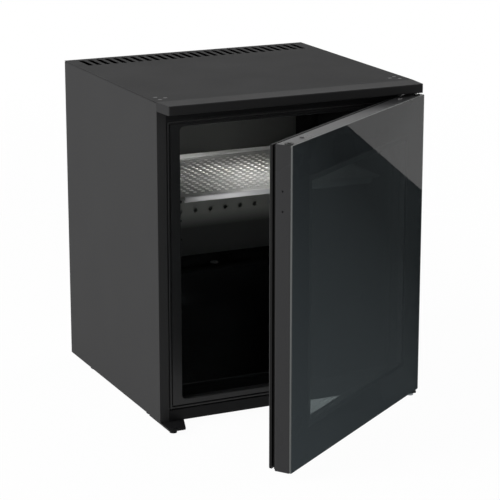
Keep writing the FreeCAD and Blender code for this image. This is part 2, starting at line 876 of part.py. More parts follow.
def header_trim():
    """Hollow moulding over the door: tapered ends, open towards the cabinet."""
    body = new_body("header_trim")
    tip = "(side_x - header_taper)"
    nose = "(front_y - header_overhang)"
    plan = [("-side_x", "front_y"), (f"-{tip}", nose), (tip, nose), ("side_x", "front_y")]
    pad(body, "Z", "top_z - header_height", "top_z", plan)
    soften(body, "header_round", lambda e: lies_at(e, y=nose))
    room = [
        ("-side_x + header_wall", "front_y"),
        (f"-{tip} + header_wall", f"{nose} + header_wall"),
        (f"{tip} - header_wall", f"{nose} + header_wall"),
        ("side_x - header_wall", "front_y"),
    ]
    pocket(body, "Z", "top_z - header_height + header_wall", "top_z - header_wall", room)
    ways = [(f"{side} * pivot_x", "pivot_y", "pin_collar + pin_way") for side in (-1, 1)]
    underside = "top_z - header_height"
    pocket(body, "Z", f"{underside} - overrun", f"{underside} + header_wall + overrun", *ways)
    return body


header_trim()

# Inside of the cabinet


def rear_air_panel():
    """Tray-shaped panel on the tub's back wall, with a row of round air holes."""
    body = new_body("rear_air_panel")
    face = block("-panel_x", "panel_x", "panel_low", "panel_high")
    half = "(panel_x - panel_wall)"
    inside = block(f"-{half}", half, "panel_low + panel_wall", "panel_high - panel_wall")
    pad(body, "Y", "panel_y", "panel_y + panel_wall", face)
    soften(body, "panel_wall / 2", lambda e: lies_at(e, y="panel_y"))
    pad(body, "Y", "panel_y + panel_wall", "wall_y", face, inside)
    first = "(panel_hole_side - panel_x)"
    hole = pocket(
        body, "Y", "panel_y - overrun", "panel_y + panel_wall + overrun",
        (first, "panel_low + panel_hole_height", "panel_hole_radius"),
    )
    repeat(body, hole, "H_Axis", f"-2 * {first}", "panel_hole_count")
    return body


rear_air_panel()


def evaporator():
    """Cold plate on the tub's back wall, with a raised channel that winds up it."""
    body = new_body("evaporator")
    side = "(panel_x - panel_wall - plate_margin)"
    low = "(panel_low + panel_wall + plate_margin)"
    high = "(panel_high - panel_wall - plate_margin)"
    pad(body, "Y", "wall_y - plate_wall", "wall_y", block(f"-{side}", side, low, high))
    pocket(body, "Y", "wall_y - plate_wall - overrun", "wall_y + overrun", *PORT_SPOTS)
    face = ("wall_y - plate_wall - channel_rise", "wall_y - plate_wall")
    start = f"({low} + port_height)"
    pitch = f"(({high} - {start} - 2 * channel_width) / (channel_count - 1))"
    reach = f"({side} - channel_width)"
    bar = pad(body, "Y", *face, block(f"-{reach}", reach, start, f"{start} + channel_width"))
    repeat(body, bar, "V_Axis", f"{pitch} * (channel_count - 1)", "channel_count")
    ends = ((f"{reach} - channel_width", reach), (f"-{reach}", f"channel_width - {reach}"))
    for index in range(int(measure("channel_count")) - 1):
        near, far = ends[index % 2]
        level = f"({start} + {index} * {pitch})"
        pad(body, "Y", *face, block(near, far, f"{level} + channel_width", f"{level} + {pitch}"))
    return body


evaporator()


def lamp_housing():
    """Ceiling unit, hollow above its lens, with a bore for the thermostat's shaft in its front."""
    body = new_body("lamp_housing")
    half = "lamp_width / 2"
    low = "ceiling_z - lamp_height"
    profile = [
        ("lamp_front", "ceiling_z"),
        ("lamp_front", low),
        ("lamp_front + lamp_depth - lamp_draft", low),
        ("lamp_front + lamp_depth", "ceiling_z"),
    ]
    pad(body, "X", f"-{half}", half, profile)
    soften(body, "lamp_draft / 2", lambda e: lies_at(e, z=low) and runs_along(e, "x"))
    room = block("-lens_width / 2", "lens_width / 2", "lens_y - lens_depth / 2", "lens_y + lens_depth / 2")
    pocket(body, "Z", low, "ceiling_z - lens_wall", room)
    bore = ("knob_offset", "knob_z", "knob_shaft + running_gap")
    pocket(body, "Y", "lamp_front - overrun", "lamp_front + knob_length + fit_gap", bore)
    return body


lamp_housing()


def lamp_lens():
    body = new_body("lamp_lens")
    half, deep = "(lens_width / 2 - running_gap)", "(lens_depth / 2 - running_gap)"
    low = "ceiling_z - lamp_height"
    pad(body, "Z", low, f"{low} + lens_wall", block(f"-{half}", half, f"lens_y - {deep}", f"lens_y + {deep}"))
    soften(body, "lens_round", lambda e: lies_at(e, z=low))
    return body


lamp_lens()


def thermostat_knob():
    """Dial with a grip bar, on a shaft that turns in the ceiling unit's bore."""
    body = revolve(
        "thermostat_knob",
        [
            ("0", "-knob_length"),
            ("knob_shaft", "-knob_length"),
            ("knob_shaft", "fit_gap"),
            ("knob_radius", "fit_gap"),
            ("knob_radius - knob_grip / 2", "knob_length"),
            ("0", "knob_length"),
        ],
    )
    grip = block("-knob_grip", "knob_grip", "knob_grip - knob_radius", "knob_radius - knob_grip")
    pad(body, "Z", "knob_length", "knob_length + knob_grip", grip)
    place(body, "knob_offset", "lamp_front", "knob_z", Vector(1, 0, 0), QUARTER_TURN)
    return body


thermostat_knob()

HEXAGON_SHARES = [(math.cos(math.pi * step / 3), math.sin(math.pi * step / 3)) for step in range(6)]


def hexagon(u, v, radius):
    return [(f"{u} + {radius} * ({a:.6f})", f"{v} + {radius} * ({b:.6f})") for a, b in HEXAGON_SHARES]


def shelf():
    """Perforated sheet with a rolled front lip and an upstand at the rear."""
    body = new_body("shelf")
    top = "(shelf_z + shelf_sheet)"
    rear = "shelf_rear"
    pad(body, "Z", "shelf_z", top, block("-shelf_x", "shelf_x", "shelf_front", rear))
    low = f"({top} - shelf_lip)"
    curl = "(shelf_front + shelf_lip_roll)"
    profile = [
        ("shelf_front", "shelf_z"),
        ("shelf_front", low),
        (curl, low),
        (curl, f"{low} + shelf_lip_roll / 2"),
        (f"{curl} - shelf_sheet", f"{low} + shelf_lip_roll / 2"),
        (f"{curl} - shelf_sheet", f"{low} + shelf_sheet"),
        ("shelf_front + shelf_sheet", f"{low} + shelf_sheet"),
        ("shelf_front + shelf_sheet", "shelf_z"),
    ]
    lip = "(shelf_x - shelf_lip_inset)"
    pad(body, "X", f"-{lip}", lip, profile)
    soften(body, "shelf_sheet", lambda e: runs_along(e, "x") and lies_at(e, y="shelf_front", z=low))
    pad(body, "X", "-shelf_x", "shelf_x", block(f"{rear} - shelf_sheet", rear, top, f"{top} + shelf_rib"))
    first_x = "(shelf_hole_side - shelf_x)"
    first_y = "(shelf_front + shelf_hole_front)"
    pitch = f"(-2 * {first_x} / (shelf_hole_columns - 1))"
    columns = int(measure("shelf_hole_columns"))
    holes = [hexagon(f"{first_x} + {pitch} * {i}", first_y, "shelf_hole_radius") for i in range(columns)]
    row = pocket(body, "Z", "shelf_z - overrun", f"{top} + overrun", *holes)
    repeat(body, row, "V_Axis", f"shelf_rear - shelf_hole_rear - {first_y}", "shelf_hole_rows")
    return body


shelf()

# Hinge plates, brackets, pins and their screws


def hinge_plan(side, inset):
    """Plate outline from above: wide at the root, narrower at the nose round the pivot."""
    outer = f"{side} * (side_x - {inset})"
    nose = "pivot_y - hinge_nose"
    return [
        (outer, "front_y + hinge_root"),
        (outer, nose),
        (f"{side} * (side_x - {inset} - hinge_tip)", nose),
        (f"{side} * (side_x - {inset} - hinge_width)", "front_y"),
        (f"{side} * (side_x - {inset} - hinge_width)", "front_y + hinge_root"),
    ]


def upper_hinge(label, side):
    body = new_body(label)
    pad(body, "Z", "hinge_low", "hinge_high", hinge_plan(side, "hinge_inset"))
    holes = [(x, y, "screw_radius + running_gap") for x, y in top_screw_spots(side)]
    pocket(body, "Z", "hinge_low - overrun", "hinge_high + overrun", *holes)
    soften(body, "hinge_nose / 2", lambda e: runs_along(e, "z") and lies_at(e, y="pivot_y - hinge_nose"))
    return body


upper_hinge("upper_hinge_left", -1)
upper_hinge("upper_hinge_right", 1)


def lower_hinge(label, side):
    body = new_body(label)
    low, high = "base_z - plate_steel", "base_z"
    pad(body, "Z", low, high, hinge_plan(side, "door_inset"))
    holes = [(x, y, "screw_radius + fit_gap") for x, y in low_screw_spots(side)]
    holes.append((f"{side} * pivot_x", "pivot_y", "pin_radius"))
    pocket(body, "Z", f"{low} - overrun", f"{high} + overrun", *holes)
    soften(body, "hinge_nose / 2", lambda e: runs_along(e, "z") and lies_at(e, y="pivot_y - hinge_nose"))
    return body


lower_hinge("lower_hinge_left", -1)
lower_hinge("lower_hinge_right", 1)


def upper_pivot_pin():
    low = "(door_high - pin_reach)"
    body = revolve(
        "upper_pivot_pin",
        [
            ("0", low),
            ("pin_radius - fit_gap", low),
            ("pin_radius", f"{low} + fit_gap"),
            ("pin_radius", "hinge_low - pin_collar_height"),
            ("pin_collar", "hinge_low - pin_collar_height"),
            ("pin_collar", "hinge_low"),
            ("0", "hinge_low"),
        ],
    )
    return place(body, "pivot_x", "pivot_y")


upper_pivot_pin()


def lower_fitting(label, side, head):
    """Shank in a lower bracket's hole with a nut below it, and the given outline above."""
    low = "(base_z - plate_steel)"
    shank = "(pin_radius - fit_gap)"
    outline = [
        ("0", f"{low} - pin_nut_height"),
        ("pin_nut", f"{low} - pin_nut_height"),
        ("pin_nut", low),
        (shank, low),
        (shank, "base_z"),
        ("pin_collar", "base_z"),
        ("pin_collar", "base_z + pin_collar_height"),
    ]
    body = revolve(label, outline + head)
    return place(body, f"{side} * pivot_x", "pivot_y")


PIN_HEAD = [
    ("pin_radius", "base_z + pin_collar_height"),
    ("pin_radius", "door_low + pin_reach - fit_gap"),
    ("pin_radius - fit_gap", "door_low + pin_reach"),
    ("0", "door_low + pin_reach"),
]
lower_fitting("lower_pivot_pin", 1, PIN_HEAD)
lower_fitting("pivot_plug", -1, [("0", "base_z + pin_collar_height")])


def upper_hinge_screws():
    body = new_body("upper_hinge_screws")
    spots = top_screw_spots(-1) + top_screw_spots(1)
    seat = "hinge_high + sheet"
    pad(body, "Z", "hinge_low - sheet - screw_tail", seat, *[(x, y, "screw_radius") for x, y in spots])
    pad(body, "Z", seat, f"{seat} + screw_head_height", *[(x, y, "screw_head") for x, y in spots])
    return body


upper_hinge_screws()


def lower_hinge_screws():
    body = new_body("lower_hinge_screws")
    spots = low_screw_spots(-1) + low_screw_spots(1)
    seat = "base_z - plate_steel"
    pad(body, "Z", seat, "base_z + pan_sheet", *[(x, y, "screw_radius") for x, y in spots])
    pad(body, "Z", f"{seat} - screw_head_height", seat, *[(x, y, "screw_head") for x, y in spots])
    return body


lower_hinge_screws()


def foot(label, side, y):
    body = revolve(
        label,
        [
            ("0", "0"),
            ("foot_radius - foot_taper", "0"),
            ("foot_radius", "foot_taper"),
            ("foot_radius - foot_taper", "foot_height"),
            ("0", "foot_height"),
        ],
    )
    return place(body, f"{side} * (side_x - foot_inset)", y)


for end, level in (("front", "front_y + foot_front"), ("rear", "back_y - foot_rear")):
    for hand, side in (("left", -1), ("right", 1)):
        foot(f"foot_{end}_{hand}", side, level)

# Door, drawn about its pivot and then swung to its stored place


def door_glass():
    body = new_body("door_glass")
    pad(body, "Y", "door_front", "glass_back", block("door_left", "door_right", "door_low", "door_high"))
    soften(body, "door_round", lambda e: runs_along(e, "y"))
    soften(body, "glass_bevel", lambda e: lies_at(e, y="door_front") or lies_at(e, y="glass_back"), "Chamfer")
    return swing(body)


door_glass()

# Point of each member of the door's frame at a depth from the door's edge and a level along it.
MEMBERS = {
    "stile_hinge": lambda a, b: (f"door_right - ({a})", b),
    "stile_free": lambda a, b: (f"door_left + ({a})", b),
    "rail_top": lambda a, b: (b, f"door_high - ({a})"),
    "rail_bottom": lambda a, b: (b, f"door_low + ({a})"),
}


def mitred(label, depth_in, depth_out):
    """Trapezium of a member between two depths from the door's edge, its ends cut at 45 degrees."""
    at = MEMBERS[label]
    ends = ("door_low", "door_high") if label.startswith("stile") else ("door_left", "door_right")
    points = []
    for depth, first in ((depth_in, ends), (depth_out, ends[::-1])):
        for end in first:
            sign = "+" if end in ("door_low", "door_left") else "-"
            points.append(at(depth, f"{end} {sign} ({depth})"))
    return points


def frame_member(label):
    """Hollow mitred profile, its chamber open at the ends for the corner keys."""
    body = new_body(label)
    pad(body, "Y", "glass_back", "door_back", mitred(label, "0", "stile"))
    edge = MEMBERS[label]("0", "0")
    level = {"x": edge[0]} if label.startswith("stile") else {"z": edge[1]}
    soften(body, "door_round", lambda e: lies_at(e, y="door_back", **level))
    chamber = mitred(label, "profile_wall", "stile - profile_wall")
    pocket(body, "Y", "glass_back + profile_wall", "door_back - profile_wall", chamber)
    return body


DOOR_SCREW_SPOTS = ("door_right - door_screw_along", "door_left + door_screw_along")


def pivot_holes(body, level, sign):
    """Bush and screw holes through a rail's outer wall; sign points into the door."""
    low, high = (f"{level} - overrun", f"{level} + profile_wall + overrun")
    if sign < 0:
        low, high = (f"{level} - profile_wall - overrun", f"{level} + overrun")
    holes = [(x, "0", "bush_radius + running_gap") for x in ("0", "spare_x")]
    holes += [(x, "member_y", "screw_radius + fit_gap") for x in DOOR_SCREW_SPOTS]
    pocket(body, "Z", low, high, *holes)


frame_member("stile_hinge")
free_stile = frame_member("stile_free")
side_levels = ("door_high - side_hole_drop", "door_high - side_hole_drop - side_hole_pitch")
side_holes = [("member_y", level, "side_hole_radius") for level in side_levels]
pocket(free_stile, "X", "door_left - overrun", "door_left + side_hole_depth", *side_holes)
pivot_holes(frame_member("rail_top"), "door_high", -1)
pivot_holes(frame_member("rail_bottom"), "door_low", 1)
for name in MEMBERS:
    swing(doc.getObject(name))


def corner_keys():
    """L-shaped blocks in the corners of the frame's chambers, bored for bushes and screws."""
    body = new_body("corner_keys")
    near, far = "(profile_wall + key_gap)", "(stile - profile_wall - key_gap)"
    leg = "key_leg"
    steps = [(near, near), (leg, near), (leg, far), (far, far), (far, leg), (near, leg)]
    loops = []
    for x, inward in (("door_right", "-"), ("door_left", "+")):
        for z, upward in (("door_low", "+"), ("door_high", "-")):
            loops.append([(f"{x} {inward} {a}", f"{z} {upward} {b}") for a, b in steps])
    pad(body, "Y", f"glass_back + {near}", f"door_back - {near}", *loops)
    bores = [(x, "0", "bush_radius + running_gap") for x in ("0", "spare_x")]
    bores += [(x, "member_y", "screw_radius + running_gap") for x in DOOR_SCREW_SPOTS]
    deep = "(bush_length + overrun)"
    pocket(body, "Z", f"door_high - {deep}", "door_high", *bores)
    pocket(body, "Z", "door_low", f"door_low + {deep}", *bores)
    return swing(body)


corner_keys()


def door_block(inset):
    """Rectangle set in from the door's edge all round."""
    across = (f"door_left + {inset}", f"door_right - {inset}")
    upright = (f"door_low + {inset}", f"door_high - {inset}")
    return block(*across, *upright)


def door_ring(label, low, high, outer, inner):
    """Ring along Y between two insets from the door's edge."""
    body = new_body(label)
    pad(body, "Y", low, high, door_block(outer), door_block(inner))
    return body


PANE_EDGE = "(stile + pane_gap)"


def inner_glass():
    body = new_body("inner_glass")
    pad(body, "Y", "glass_back + spacer_depth", "pane_back", door_block(PANE_EDGE))
    return swing(body)


inner_glass()
spacer_back = "glass_back + spacer_depth"
swing(door_ring("glazing_spacer", "glass_back", spacer_back, PANE_EDGE, f"({PANE_EDGE} + spacer_width)"))


def on_border(edge, text):
    """True for an edge along the rectangle set in from the door's edge by a size."""
    middle = edge.BoundBox.Center
    inset = measure(text)
    x_levels = (measure("door_left") + inset, measure("door_right") - inset)
    z_levels = (measure("door_low") + inset, measure("door_high") - inset)
    near_x = min(abs(middle.x - level) for level in x_levels)
    near_z = min(abs(middle.z - level) for level in z_levels)
    return min(near_x, near_z) < SAME_LEVEL


bead = door_ring("glazing_bead", "pane_back", "pane_back + glazing_depth", "stile", "(stile + glazing_lip)")
window_edge = "stile + glazing_lip"
soften(bead, "glazing_round", lambda e: lies_at(e, y="pane_back + glazing_depth") and on_border(e, window_edge))
swing(bead)


def magnet_bars(gap):
    """Four bars in the head of the seal, each with a clearance all round."""
    near = f"(gasket_inset + gasket_neck + {gap})"
    far = f"(gasket_inset + gasket_width - gasket_neck - {gap})"
    end = f"(gasket_inset + gasket_width + {gap})"
    return [
        block(f"door_left + {end}", f"door_right - {end}", f"door_low + {near}", f"door_low + {far}"),
        block(f"door_left + {end}", f"door_right - {end}", f"door_high - {far}", f"door_high - {near}"),
        block(f"door_left + {near}", f"door_left + {far}", f"door_low + {end}", f"door_high - {end}"),
        block(f"door_right - {far}", f"door_right - {near}", f"door_low + {end}", f"door_high - {end}"),
    ]


def gasket():
    """Bellows seal on the door's back: base, narrow neck and a head that holds the magnets."""
    low, high = "door_back", "door_back + gasket_depth"
    inner = "(gasket_inset + gasket_width)"
    body = door_ring("gasket", low, high, "gasket_inset", inner)
    soften(body, "gasket_round", lambda e: lies_at(e, y=high) and on_border(e, "gasket_inset"))
    neck = (f"{low} + gasket_wall", f"{high} - 2 * gasket_wall - magnet_depth")
    neck_out = "(gasket_inset + gasket_neck)"
    pocket(body, "Y", *neck, door_block("(gasket_inset - overrun)"), door_block(neck_out))
    pocket(body, "Y", *neck, door_block(f"({inner} - gasket_neck)"), door_block(f"({inner} + overrun)"))
    pocket(body, "Y", f"{high} - gasket_wall - magnet_depth", f"{high} - gasket_wall", *magnet_bars("0"))
    return swing(body)


gasket()


def gasket_magnets():
    body = new_body("gasket_magnets")
    high = "door_back + gasket_depth - gasket_wall - running_gap"
    pad(body, "Y", f"{high} - magnet_depth + 2 * running_gap", high, *magnet_bars("running_gap"))
    return swing(body)


gasket_magnets()


def bush_outline(face, sign):
    """Flanged bush in a rail's outer wall; sign points out of the door."""
    bore = "(pin_radius + running_gap)"
    return [
        (bore, f"{face} - {sign} * bush_length"),
        ("bush_radius", f"{face} - {sign} * bush_length"),
        ("bush_radius", face),
        ("bush_radius + bush_flange_rim", face),
        ("bush_radius + bush_flange_rim", f"{face} + {sign} * bush_flange"),
        (bore, f"{face} + {sign} * bush_flange"),
    ]


swing(revolve("pivot_bush_top", bush_outline("door_high", 1)))
swing(revolve("pivot_bush_bottom", bush_outline("door_low", -1)))


def spare_bushes():
    """The two bushes at the free side, for hanging the door the other way round."""
    body = new_body("spare_bushes")
    rim, wall, bore = "bush_radius + bush_flange_rim", "bush_radius", "pin_radius + running_gap"
    for face, sign in (("door_high", 1), ("door_low", -1)):
        spans = [(f"{face}", f"{face} + bush_flange", rim), (f"{face} - bush_length", face, wall)]
        if sign < 0:
            spans = [(f"{face} - bush_flange", face, rim), (face, f"{face} + bush_length", wall)]
        for low, high, radius in spans:
            pad(body, "Z", low, high, ("spare_x", "0", radius), ("spare_x", "0", bore))
    return swing(body)


spare_bushes()


def door_screws():
    body = new_body("door_screws")
    deep = "(bush_length - overrun)"
    rods = [(x, "member_y", "screw_radius") for x in DOOR_SCREW_SPOTS]
    heads = [(x, "member_y", "screw_head") for x in DOOR_SCREW_SPOTS]
    pad(body, "Z", f"door_high - {deep}", "door_high", *rods)
    pad(body, "Z", "door_high", "door_high + screw_head_height", *heads)
    pad(body, "Z", "door_low", f"door_low + {deep}", *rods)
    pad(body, "Z", "door_low - screw_head_height", "door_low", *heads)
    return swing(body)


door_screws()

# Refrigeration unit in the bay behind the foam


def compressor():
    low, high, seam = "shell_z", "(shell_z + compressor_height)", "(shell_z + compressor_height / 2)"
    flange = "(compressor_radius + compressor_seam)"
    body = revolve(
        "compressor",
        [
            ("0", low),
            ("compressor_radius", low),
            ("compressor_radius", f"{seam} - compressor_seam_height / 2"),
            (flange, f"{seam} - compressor_seam_height / 2"),
            (flange, f"{seam} + compressor_seam_height / 2"),
            ("compressor_radius", f"{seam} + compressor_seam_height / 2"),
            ("compressor_radius", high),
            ("0", high),
        ],
    )
    rims = lambda e: isinstance(e.Curve, Part.Circle) and (lies_at(e, z=low) or lies_at(e, z=high))
    soften(body, "compressor_dome", rims)
    return place(body, "compressor_x", "compressor_y")


compressor()
MOUNT_SPOTS = [
    (f"compressor_x {a} (mount_width / 2 - mount_inset)", f"compressor_y {b} (mount_depth / 2 - mount_inset)")
    for a in "-+"
    for b in "-+"
]


def compressor_plate():
    body = new_body("compressor_plate")
    plan = centred("compressor_x", "mount_width / 2", "compressor_y", "mount_depth / 2")
    pad(body, "Z", "mount_z", "shell_z", plan)
    soften(body, "mount_inset / 2", lambda e: runs_along(e, "z"))
    holes = [(x, y, "grommet_bore + fit_gap") for x, y in MOUNT_SPOTS]
    pocket(body, "Z", "mount_z - overrun", "shell_z + overrun", *holes)
    return body


compressor_plate()


def compressor_grommets():
    """Rubber mounts: a foot under the plate, a neck through it and a rim above."""
    body = new_body("compressor_grommets")
    spans = [
        ("base_z + pan_sheet", "mount_z", "grommet_radius"),
        ("mount_z", "shell_z", "grommet_bore"),
        ("shell_z", "shell_z + mount_plate", "grommet_rim"),
    ]
    for low, high, radius in spans:
        pad(body, "Z", low, high, *[(x, y, radius) for x, y in MOUNT_SPOTS])
    return body


compressor_grommets()


def terminal_cover():
    """Cover over the terminals on the shell's side, hollowed to the shell's curve."""
    body = new_body("terminal_cover")
    low = "(shell_z + compressor_height / 2 + compressor_seam_height / 2 + fit_gap)"
    high = f"({low} + compressor_height / 2 - compressor_dome)"
    near, far = "compressor_x", "compressor_x + compressor_radius + cover_depth"
    half = "cover_width / 2"
    pad(body, "Z", low, high, block(near, far, f"compressor_y - {half}", f"compressor_y + {half}"))
    shell = ("compressor_x", "compressor_y", "compressor_radius + fit_gap")
    pocket(body, "Z", f"{low} - overrun", f"{high} + overrun", shell)
    soften(body, "cover_round", lambda e: lies_at(e, x=far))
    return body


terminal_cover()


COIL_BEND_SHARE = 0.45


def route_side(passes):
    """Side of the coil where its last pass ends."""
    return "-coil_x" if passes % 2 == 0 else "coil_x"


def condenser():
    """Serpentine tube with upright wires welded to its back."""
    route = [spot("coil_joint_x", "coil_y", "coil_top")]
    passes = int(measure("coil_passes"))
    for index in range(passes):
        level = f"coil_top - {index} * coil_pitch"
        ends = ("-coil_x", "coil_x") if index % 2 == 0 else ("coil_x", "-coil_x")
        if index:
            route.append(spot(ends[0], "coil_y", level))
        route.append(spot(ends[1], "coil_y", level))
    route.append(spot(route_side(passes), "coil_y", "coil_bottom - coil_tail"))
    solids = [tube_solid(route, measure("tube_radius"), measure("coil_pitch") * COIL_BEND_SHARE)]
    count = int(measure("wire_count"))
    span = "(2 * (coil_x - 2 * coil_pitch))"
    for index in range(count):
        x = f"{span} * ({index} / (wire_count - 1) - 1 / 2)"
        foot_point = spot(x, "coil_y + tube_radius + wire_radius + running_gap", "coil_bottom - tube_radius")
        height = measure("coil_top - coil_bottom + 2 * tube_radius")
        solids.append(Part.makeCylinder(measure("wire_radius"), height, foot_point))
    return shaped("condenser", Part.makeCompound(solids))


condenser()


def condenser_brackets():
    """Stand-offs from the partition, each with a half-round seat for a pass of the tube."""
    body = new_body("condenser_brackets")
    levels = ("coil_top - coil_pitch", "coil_bottom + coil_pitch")
    for side in (-1, 1):
        x = f"{side} * (coil_x - bracket_side)"
        outlines = [
            block("bay_y + sheet", "coil_y", f"{z} - bracket_height / 2", f"{z} + bracket_height / 2")
            for z in levels
        ]
        low, high = f"{x} - bracket_width / 2", f"{x} + bracket_width / 2"
        pad(body, "X", low, high, *outlines)
        bores = [("coil_y", z, "tube_radius + running_gap") for z in levels]
        pocket(body, "X", f"{low} - overrun", f"{high} + overrun", *bores)
    return body


condenser_brackets()


def filter_dryer():
    high = "(coil_bottom - coil_tail)"
    low = f"({high} - dryer_length)"
    body = revolve(
        "filter_dryer",
        [
            ("0", low),
            ("capillary_radius + tube_radius", low),
            ("dryer_radius", f"{low} + dryer_cone"),
            ("dryer_radius", f"{high} - dryer_cone"),
            ("tube_radius * 2", high),
            ("0", high),
        ],
    )
    return place(body, route_side(int(measure("coil_passes"))), "coil_y")


filter_dryer()
tube(
    "discharge_tube",
    [
        ("compressor_x - stub_spread", "line_y", "shell_z + compressor_height"),
        ("compressor_x - stub_spread", "line_y", "machine_z + tube_bend"),
        ("-coil_x", "line_y", "machine_z + tube_bend"),
        ("-coil_x", "line_y", "coil_top"),
        ("-coil_x", "coil_y", "coil_top"),
        ("coil_joint_x", "coil_y", "coil_top"),
    ],
    "tube_radius",
)
tube(
    "suction_tube",
    [
        ("port_side - port_spread", "wall_y - plate_wall", "port_z"),
        ("port_side - port_spread", "line_y", "port_z"),
        ("port_side - port_spread", "line_y", "machine_z - tube_bend / 2"),
        ("compressor_x + stub_spread", "line_y", "machine_z - tube_bend / 2"),
        ("compressor_x + stub_spread", "line_y", "shell_z + compressor_height"),
    ],
    "suction_radius",
)
DRYER_END = "(coil_bottom - coil_tail - dryer_length)"
tube(
    "capillary_tube",
    [
        ("-coil_x", "coil_y", DRYER_END),
        ("-coil_x", "coil_y", f"{DRYER_END} - 2 * tube_bend"),
        ("2 * tube_bend - coil_x", "coil_y - 2 * tube_bend", f"{DRYER_END} - 2 * tube_bend"),
        ("2 * tube_bend - coil_x", "coil_y - 2 * tube_bend", "machine_z + tube_bend / 2"),
        ("port_side + port_spread", "coil_y - 2 * tube_bend", "machine_z + tube_bend / 2"),
        ("port_side + port_spread", "coil_y - 2 * tube_bend", "port_z"),
        ("port_side + port_spread", "wall_y - plate_wall", "port_z"),
    ],
    "capillary_radius",
    "tube_bend / 2",
)


def drain_tube():
    """Spout from the hump in the liner, through the foam, to above the tray."""
    body = new_body("drain_tube")
    spout, rim, bore = [("drain_side", "drain_y", r) for r in ("drain_radius", "drain_rim", "drain_bore")]
    pad(body, "Z", "machine_z - drain_drop", "hump_z", spout, bore)
    pad(body, "Z", "hump_z", "hump_z + liner_wall / 2", rim, bore)
    return body


drain_tube()


def drip_tray():
    body = new_body("drip_tray")
    near = "(machine_y + sheet + fit_gap)"
    low = "(shell_z + compressor_height)"
    half, deep = "(tray_width / 2)", "(tray_depth / 2)"
    middle = f"({near} + {deep})"
    plan = centred("compressor_x", half, middle, deep)
    room = centred("compressor_x", f"({half} - tray_wall)", middle, f"({deep} - tray_wall)")
    pad(body, "Z", low, f"{low} + tray_height", plan)
    soften(body, "tray_round", lambda e: runs_along(e, "z"))
    pocket(body, "Z", f"{low} + tray_wall", f"{low} + tray_height + overrun", room)
    return body


drip_tray()

CONTROL_X = "(side_x - control_side - control_width / 2)"
CONTROL_BACK = "(back_y - control_back)"
CONTROL_MIDDLE = "(base_z + pan_sheet + control_height / 2)"


def inlet_outline(grow):
    """Inlet outline with two bevelled lower corners, grown all round."""
    half, up = f"(inlet_width / 2 + {grow})", f"(inlet_height / 2 + {grow})"
    bevel = "inlet_bevel"
    return [
        (f"{CONTROL_X} - {half} + {bevel}", f"{CONTROL_MIDDLE} - {up}"),
        (f"{CONTROL_X} + {half} - {bevel}", f"{CONTROL_MIDDLE} - {up}"),
        (f"{CONTROL_X} + {half}", f"{CONTROL_MIDDLE} - {up} + {bevel}"),
        (f"{CONTROL_X} + {half}", f"{CONTROL_MIDDLE} + {up}"),
        (f"{CONTROL_X} - {half}", f"{CONTROL_MIDDLE} + {up}"),
        (f"{CONTROL_X} - {half}", f"{CONTROL_MIDDLE} - {up} + {bevel}"),
    ]


def control_box():
    body = new_body("control_box")
    low, high = "base_z + pan_sheet", "base_z + pan_sheet + control_height"
    middle = f"({CONTROL_BACK} - control_depth / 2)"
    pad(body, "Z", low, high, centred(CONTROL_X, "control_width / 2", middle, "control_depth / 2"))
    soften(body, "inlet_wall", lambda e: runs_along(e, "z") or lies_at(e, z=high))
    bottom = f"{CONTROL_BACK} - inlet_socket - inlet_wall - fit_gap"
    pocket(body, "Y", bottom, f"{CONTROL_BACK} + overrun", inlet_outline("inlet_wall + fit_gap"))
    return body


control_box()


def power_inlet():
    """Mains inlet: flange, cup and three blades, with no lead."""
    body = new_body("power_inlet")
    bottom = f"{CONTROL_BACK} - inlet_socket"
    face = f"{CONTROL_BACK} + inlet_flange_wall"
    pad(body, "Y", CONTROL_BACK, face, inlet_outline("inlet_flange"), inlet_outline("0"))
    pad(body, "Y", bottom, CONTROL_BACK, inlet_outline("inlet_wall"), inlet_outline("0"))
    pad(body, "Y", f"{bottom} - inlet_wall", bottom, inlet_outline("inlet_wall"))
    blades = []
    for index, rise in ((-1, "0"), (0, "inlet_pin_rise"), (1, "0")):
        x = f"({CONTROL_X} + {index} * inlet_pin_spread)"
        z = f"({CONTROL_MIDDLE} + {rise})"
        blades.append(centred(x, "inlet_pin", z, "inlet_pin_tall"))
    pad(body, "Y", bottom, f"{CONTROL_BACK} - inlet_wall", *blades)
    return body


power_inlet()

# Check every object, then write each sub-part
doc.recompute()
for item in doc.Objects:
    if "Invalid" in item.State or "Error" in item.State:
        raise RuntimeError(f"{item.Label}: {item.State}")
for piece in PARTS:
    if piece.Shape.isNull() or not piece.Shape.isValid():
        raise RuntimeError(f"{piece.Label}: its shape is not valid")
os.makedirs("parts", exist_ok=True)
for piece in PARTS:
    piece.Shape.exportStep(f"parts/{piece.Label}.step")
print(f"{len(PARTS)} sub-parts written")
